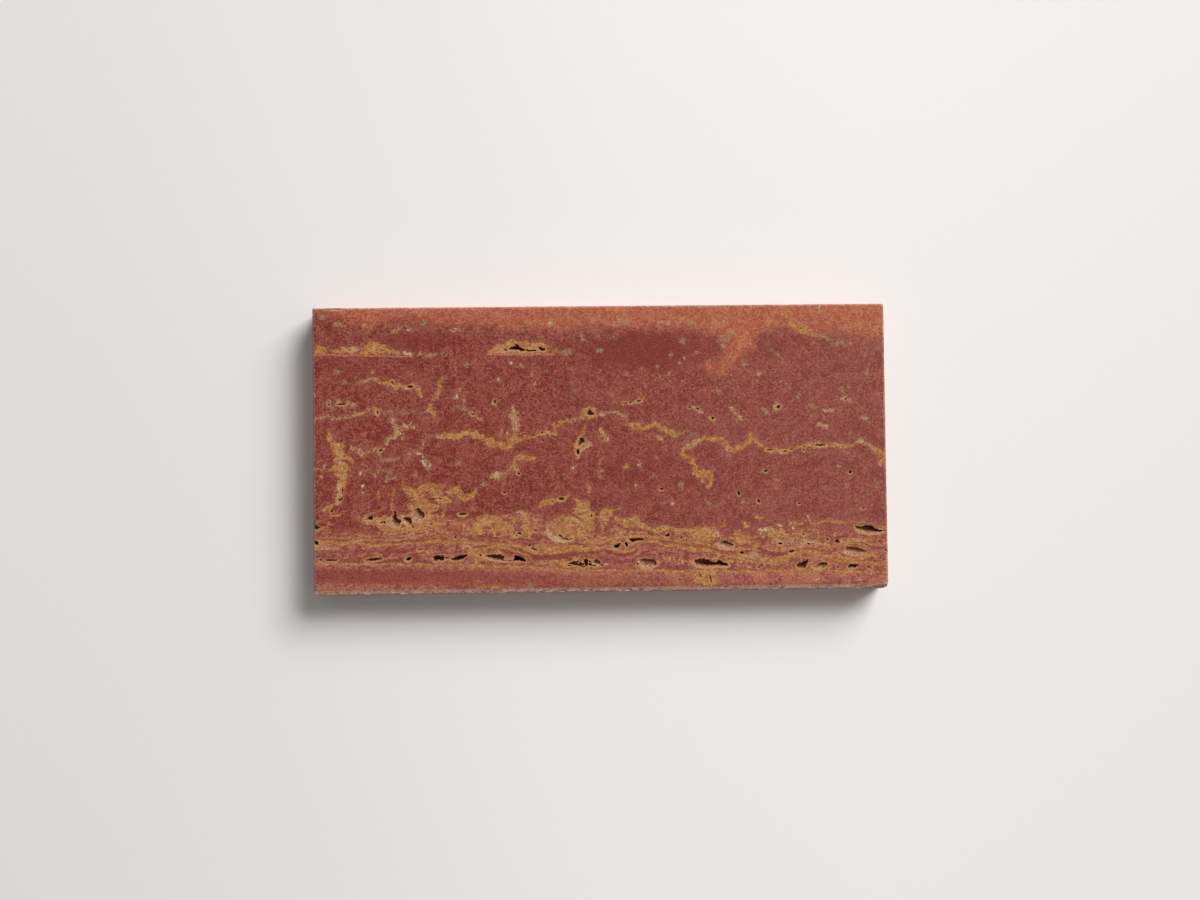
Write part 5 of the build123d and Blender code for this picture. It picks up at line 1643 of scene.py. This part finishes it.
@dataclass(frozen=True)
class PaintedShadeLiningFinish(Finish):
    """The inside of the cavities: pale crystal at the mouth, reaching furthest down the lit lower left wall as
    painted light, then brown clay, painted darker further from the mouth as painted shade.
    """

    def dress(self, graph: Graph, found: dict, dust: NodeTree) -> tuple:
        """Lay this finish over the plain stone."""
        place = found["place"]
        grain = graph.noise(place, 2.4, 4.0, 0.65)
        reach = graph.scaled(graph.math("SUBTRACT", grain, 0.5), 1.6, found["mouth"])
        # Painted light: the lip lets the pale crystal reach further down the wall, most on the lower left,
        # where light falls into the hollow
        reach = graph.scaled(found["lip"], -1.1, reach)
        crumbs = graph.noise(graph.warp(place, 2.0, 0.6), 2.2, 3.0, 0.7)
        crystal = graph.mix(graph.smooth(crumbs, 0.4, 0.6), srgb(126, 78, 58), srgb(200, 160, 134))
        color = graph.mix(graph.smooth(reach, -0.25, 0.3), crystal, srgb(160, 108, 76))
        # Painted shade: the brown clay is painted darker further from the mouth, deeper in the hollow where
        # shade falls
        color = graph.mix(graph.smooth(reach, 0.6, 2.2), color, srgb(138, 88, 60))
        return color, grain, grain


@dataclass
class Studio:
    """A pale floor, a large soft key light from the upper right and an even fill. Sizes in metres."""

    key_place: Vector
    key_size: float = 1.8
    key_power: float = 112.9
    fill: float = 0.24
    floor_size: float = 8.0

    def build(self) -> None:
        """Make the floor, the lamp and the world."""
        select_only()
        bpy.ops.mesh.primitive_grid_add(x_subdivisions=8, y_subdivisions=8, size=self.floor_size)
        floor = bpy.context.object
        floor.name = "floor"
        floor.data.materials.append(self._paper())
        bpy.ops.object.light_add(type="AREA", location=self.key_place)
        lamp = bpy.context.object
        lamp.rotation_euler = (-self.key_place).to_track_quat("-Z", "Y").to_euler()
        lamp.data.size = self.key_size
        lamp.data.energy = self.key_power
        self._world()

    def _paper(self) -> Material:
        """The floor's matt paper, with the faintest mottle and a painted pool of light, palest at 40 mm along x
        and fading to the plain paper 190 mm from there.
        """
        material = bpy.data.materials.new("paper")
        material.use_nodes = True
        graph = Graph(material.node_tree)
        shader = material.node_tree.nodes["Principled BSDF"]
        shader.inputs["Roughness"].default_value = 0.9
        shader.inputs["Specular IOR Level"].default_value = 0.1
        place = graph.stretch(graph.add("TexCoord", {}).outputs["Object"], (1 / MM,) * 3)
        fibres = graph.noise(place, 0.5, 3.0, 0.6)
        # Painted light: the paper is painted paler towards 40 mm along x, a pool of light standing in for the
        # key light's fall-off
        painted_light_distance = graph.math("ABSOLUTE", graph.math("SUBTRACT", graph.split(place)[0], 40.0))
        tone = graph.scaled(fibres, 0.14, graph.smooth(painted_light_distance, 190.0, 0.0))
        color = graph.mix(tone, srgb(233, 232, 231), srgb(242, 241, 239))
        graph.tree.links.new(color, shader.inputs["Base Color"])
        return material

    def _world(self) -> None:
        """An even fill light that the camera and reflections see as pale as the floor."""
        world = bpy.data.worlds.new("studio")
        bpy.context.scene.world = world
        world.use_nodes = True
        graph = Graph(world.node_tree)
        rays = graph.add("LightPath", {}).outputs
        seen = graph.math("MAXIMUM", rays["Is Camera Ray"],
                          graph.math("MAXIMUM", rays["Is Glossy Ray"], rays["Is Transmission Ray"]))
        background = world.node_tree.nodes["Background"]
        background.inputs["Color"].default_value = srgb(255, 254, 252)
        graph.tree.links.new(graph.scaled(seen, 0.8 - self.fill, self.fill), background.inputs["Strength"])


@dataclass
class PhotoCamera:
    """The photograph's view: nearly straight down. Lengths in metres, turns in degrees."""

    top: float
    distance: float = 0.4426
    lens: float = 50.0
    tilt: tuple[float, float, float] = (-1.96, 1.75, 0.64)
    offset: tuple[float, float] = (0.00028, 0.00039)

    def build(self) -> None:
        """Place the camera so that the tile lies in view as it does in the photograph."""
        turn = Euler([math.radians(angle) for angle in self.tilt], "XYZ").to_matrix()
        place = turn.transposed() @ Vector((-self.offset[0], -self.offset[1], self.distance))
        camera = bpy.data.objects.new("camera", bpy.data.cameras.new("camera"))
        bpy.context.scene.collection.objects.link(camera)
        moved = Matrix.Translation(place + Vector((0, 0, self.top)))
        camera.matrix_world = moved @ turn.transposed().to_4x4()
        camera.data.lens = self.lens
        camera.data.sensor_width = 36.0
        camera.data.clip_start = 0.01
        bpy.context.scene.camera = camera


def main() -> None:
    """Build the tile, its studio and its camera in order."""
    logging.basicConfig(level=logging.INFO, format="%(message)s")
    low, high = (Vector(corner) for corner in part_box("tile"))
    groups = {"travertine": travertine(), "stone_dust": stone_dust()}
    finishes = [
        HonedFinish("honed_travertine", roughness=0.5, specular=0.2, relief=0.03 * MM).build(groups),
        SawnFinish("sawn_travertine", roughness=0.7, specular=0.25, relief=0.06 * MM).build(groups),
        PaintedShadeLiningFinish("cavity_lining_painted_shade", roughness=0.75, specular=0.15, relief=0.12 * MM).build(groups),
    ]
    piece = StoneTile(TileSlab(low, high), finishes).build()
    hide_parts("tile")
    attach(piece, "root")
    triangles = sum(len(face.vertices) - 2 for face in piece.data.polygons)
    log.info("%s: %d vertices, %d triangles", piece.name, len(piece.data.vertices), triangles)
    Studio(key_place=Vector((1.57, 1.79, 1.82))).build()
    log.info("studio: floor, key light and fill")
    PhotoCamera(top=high.z).build()
    log.info("camera: straight down over the tile")
    bpy.context.scene.view_settings.view_transform = "Standard"


if __name__ == "__main__":
    main()
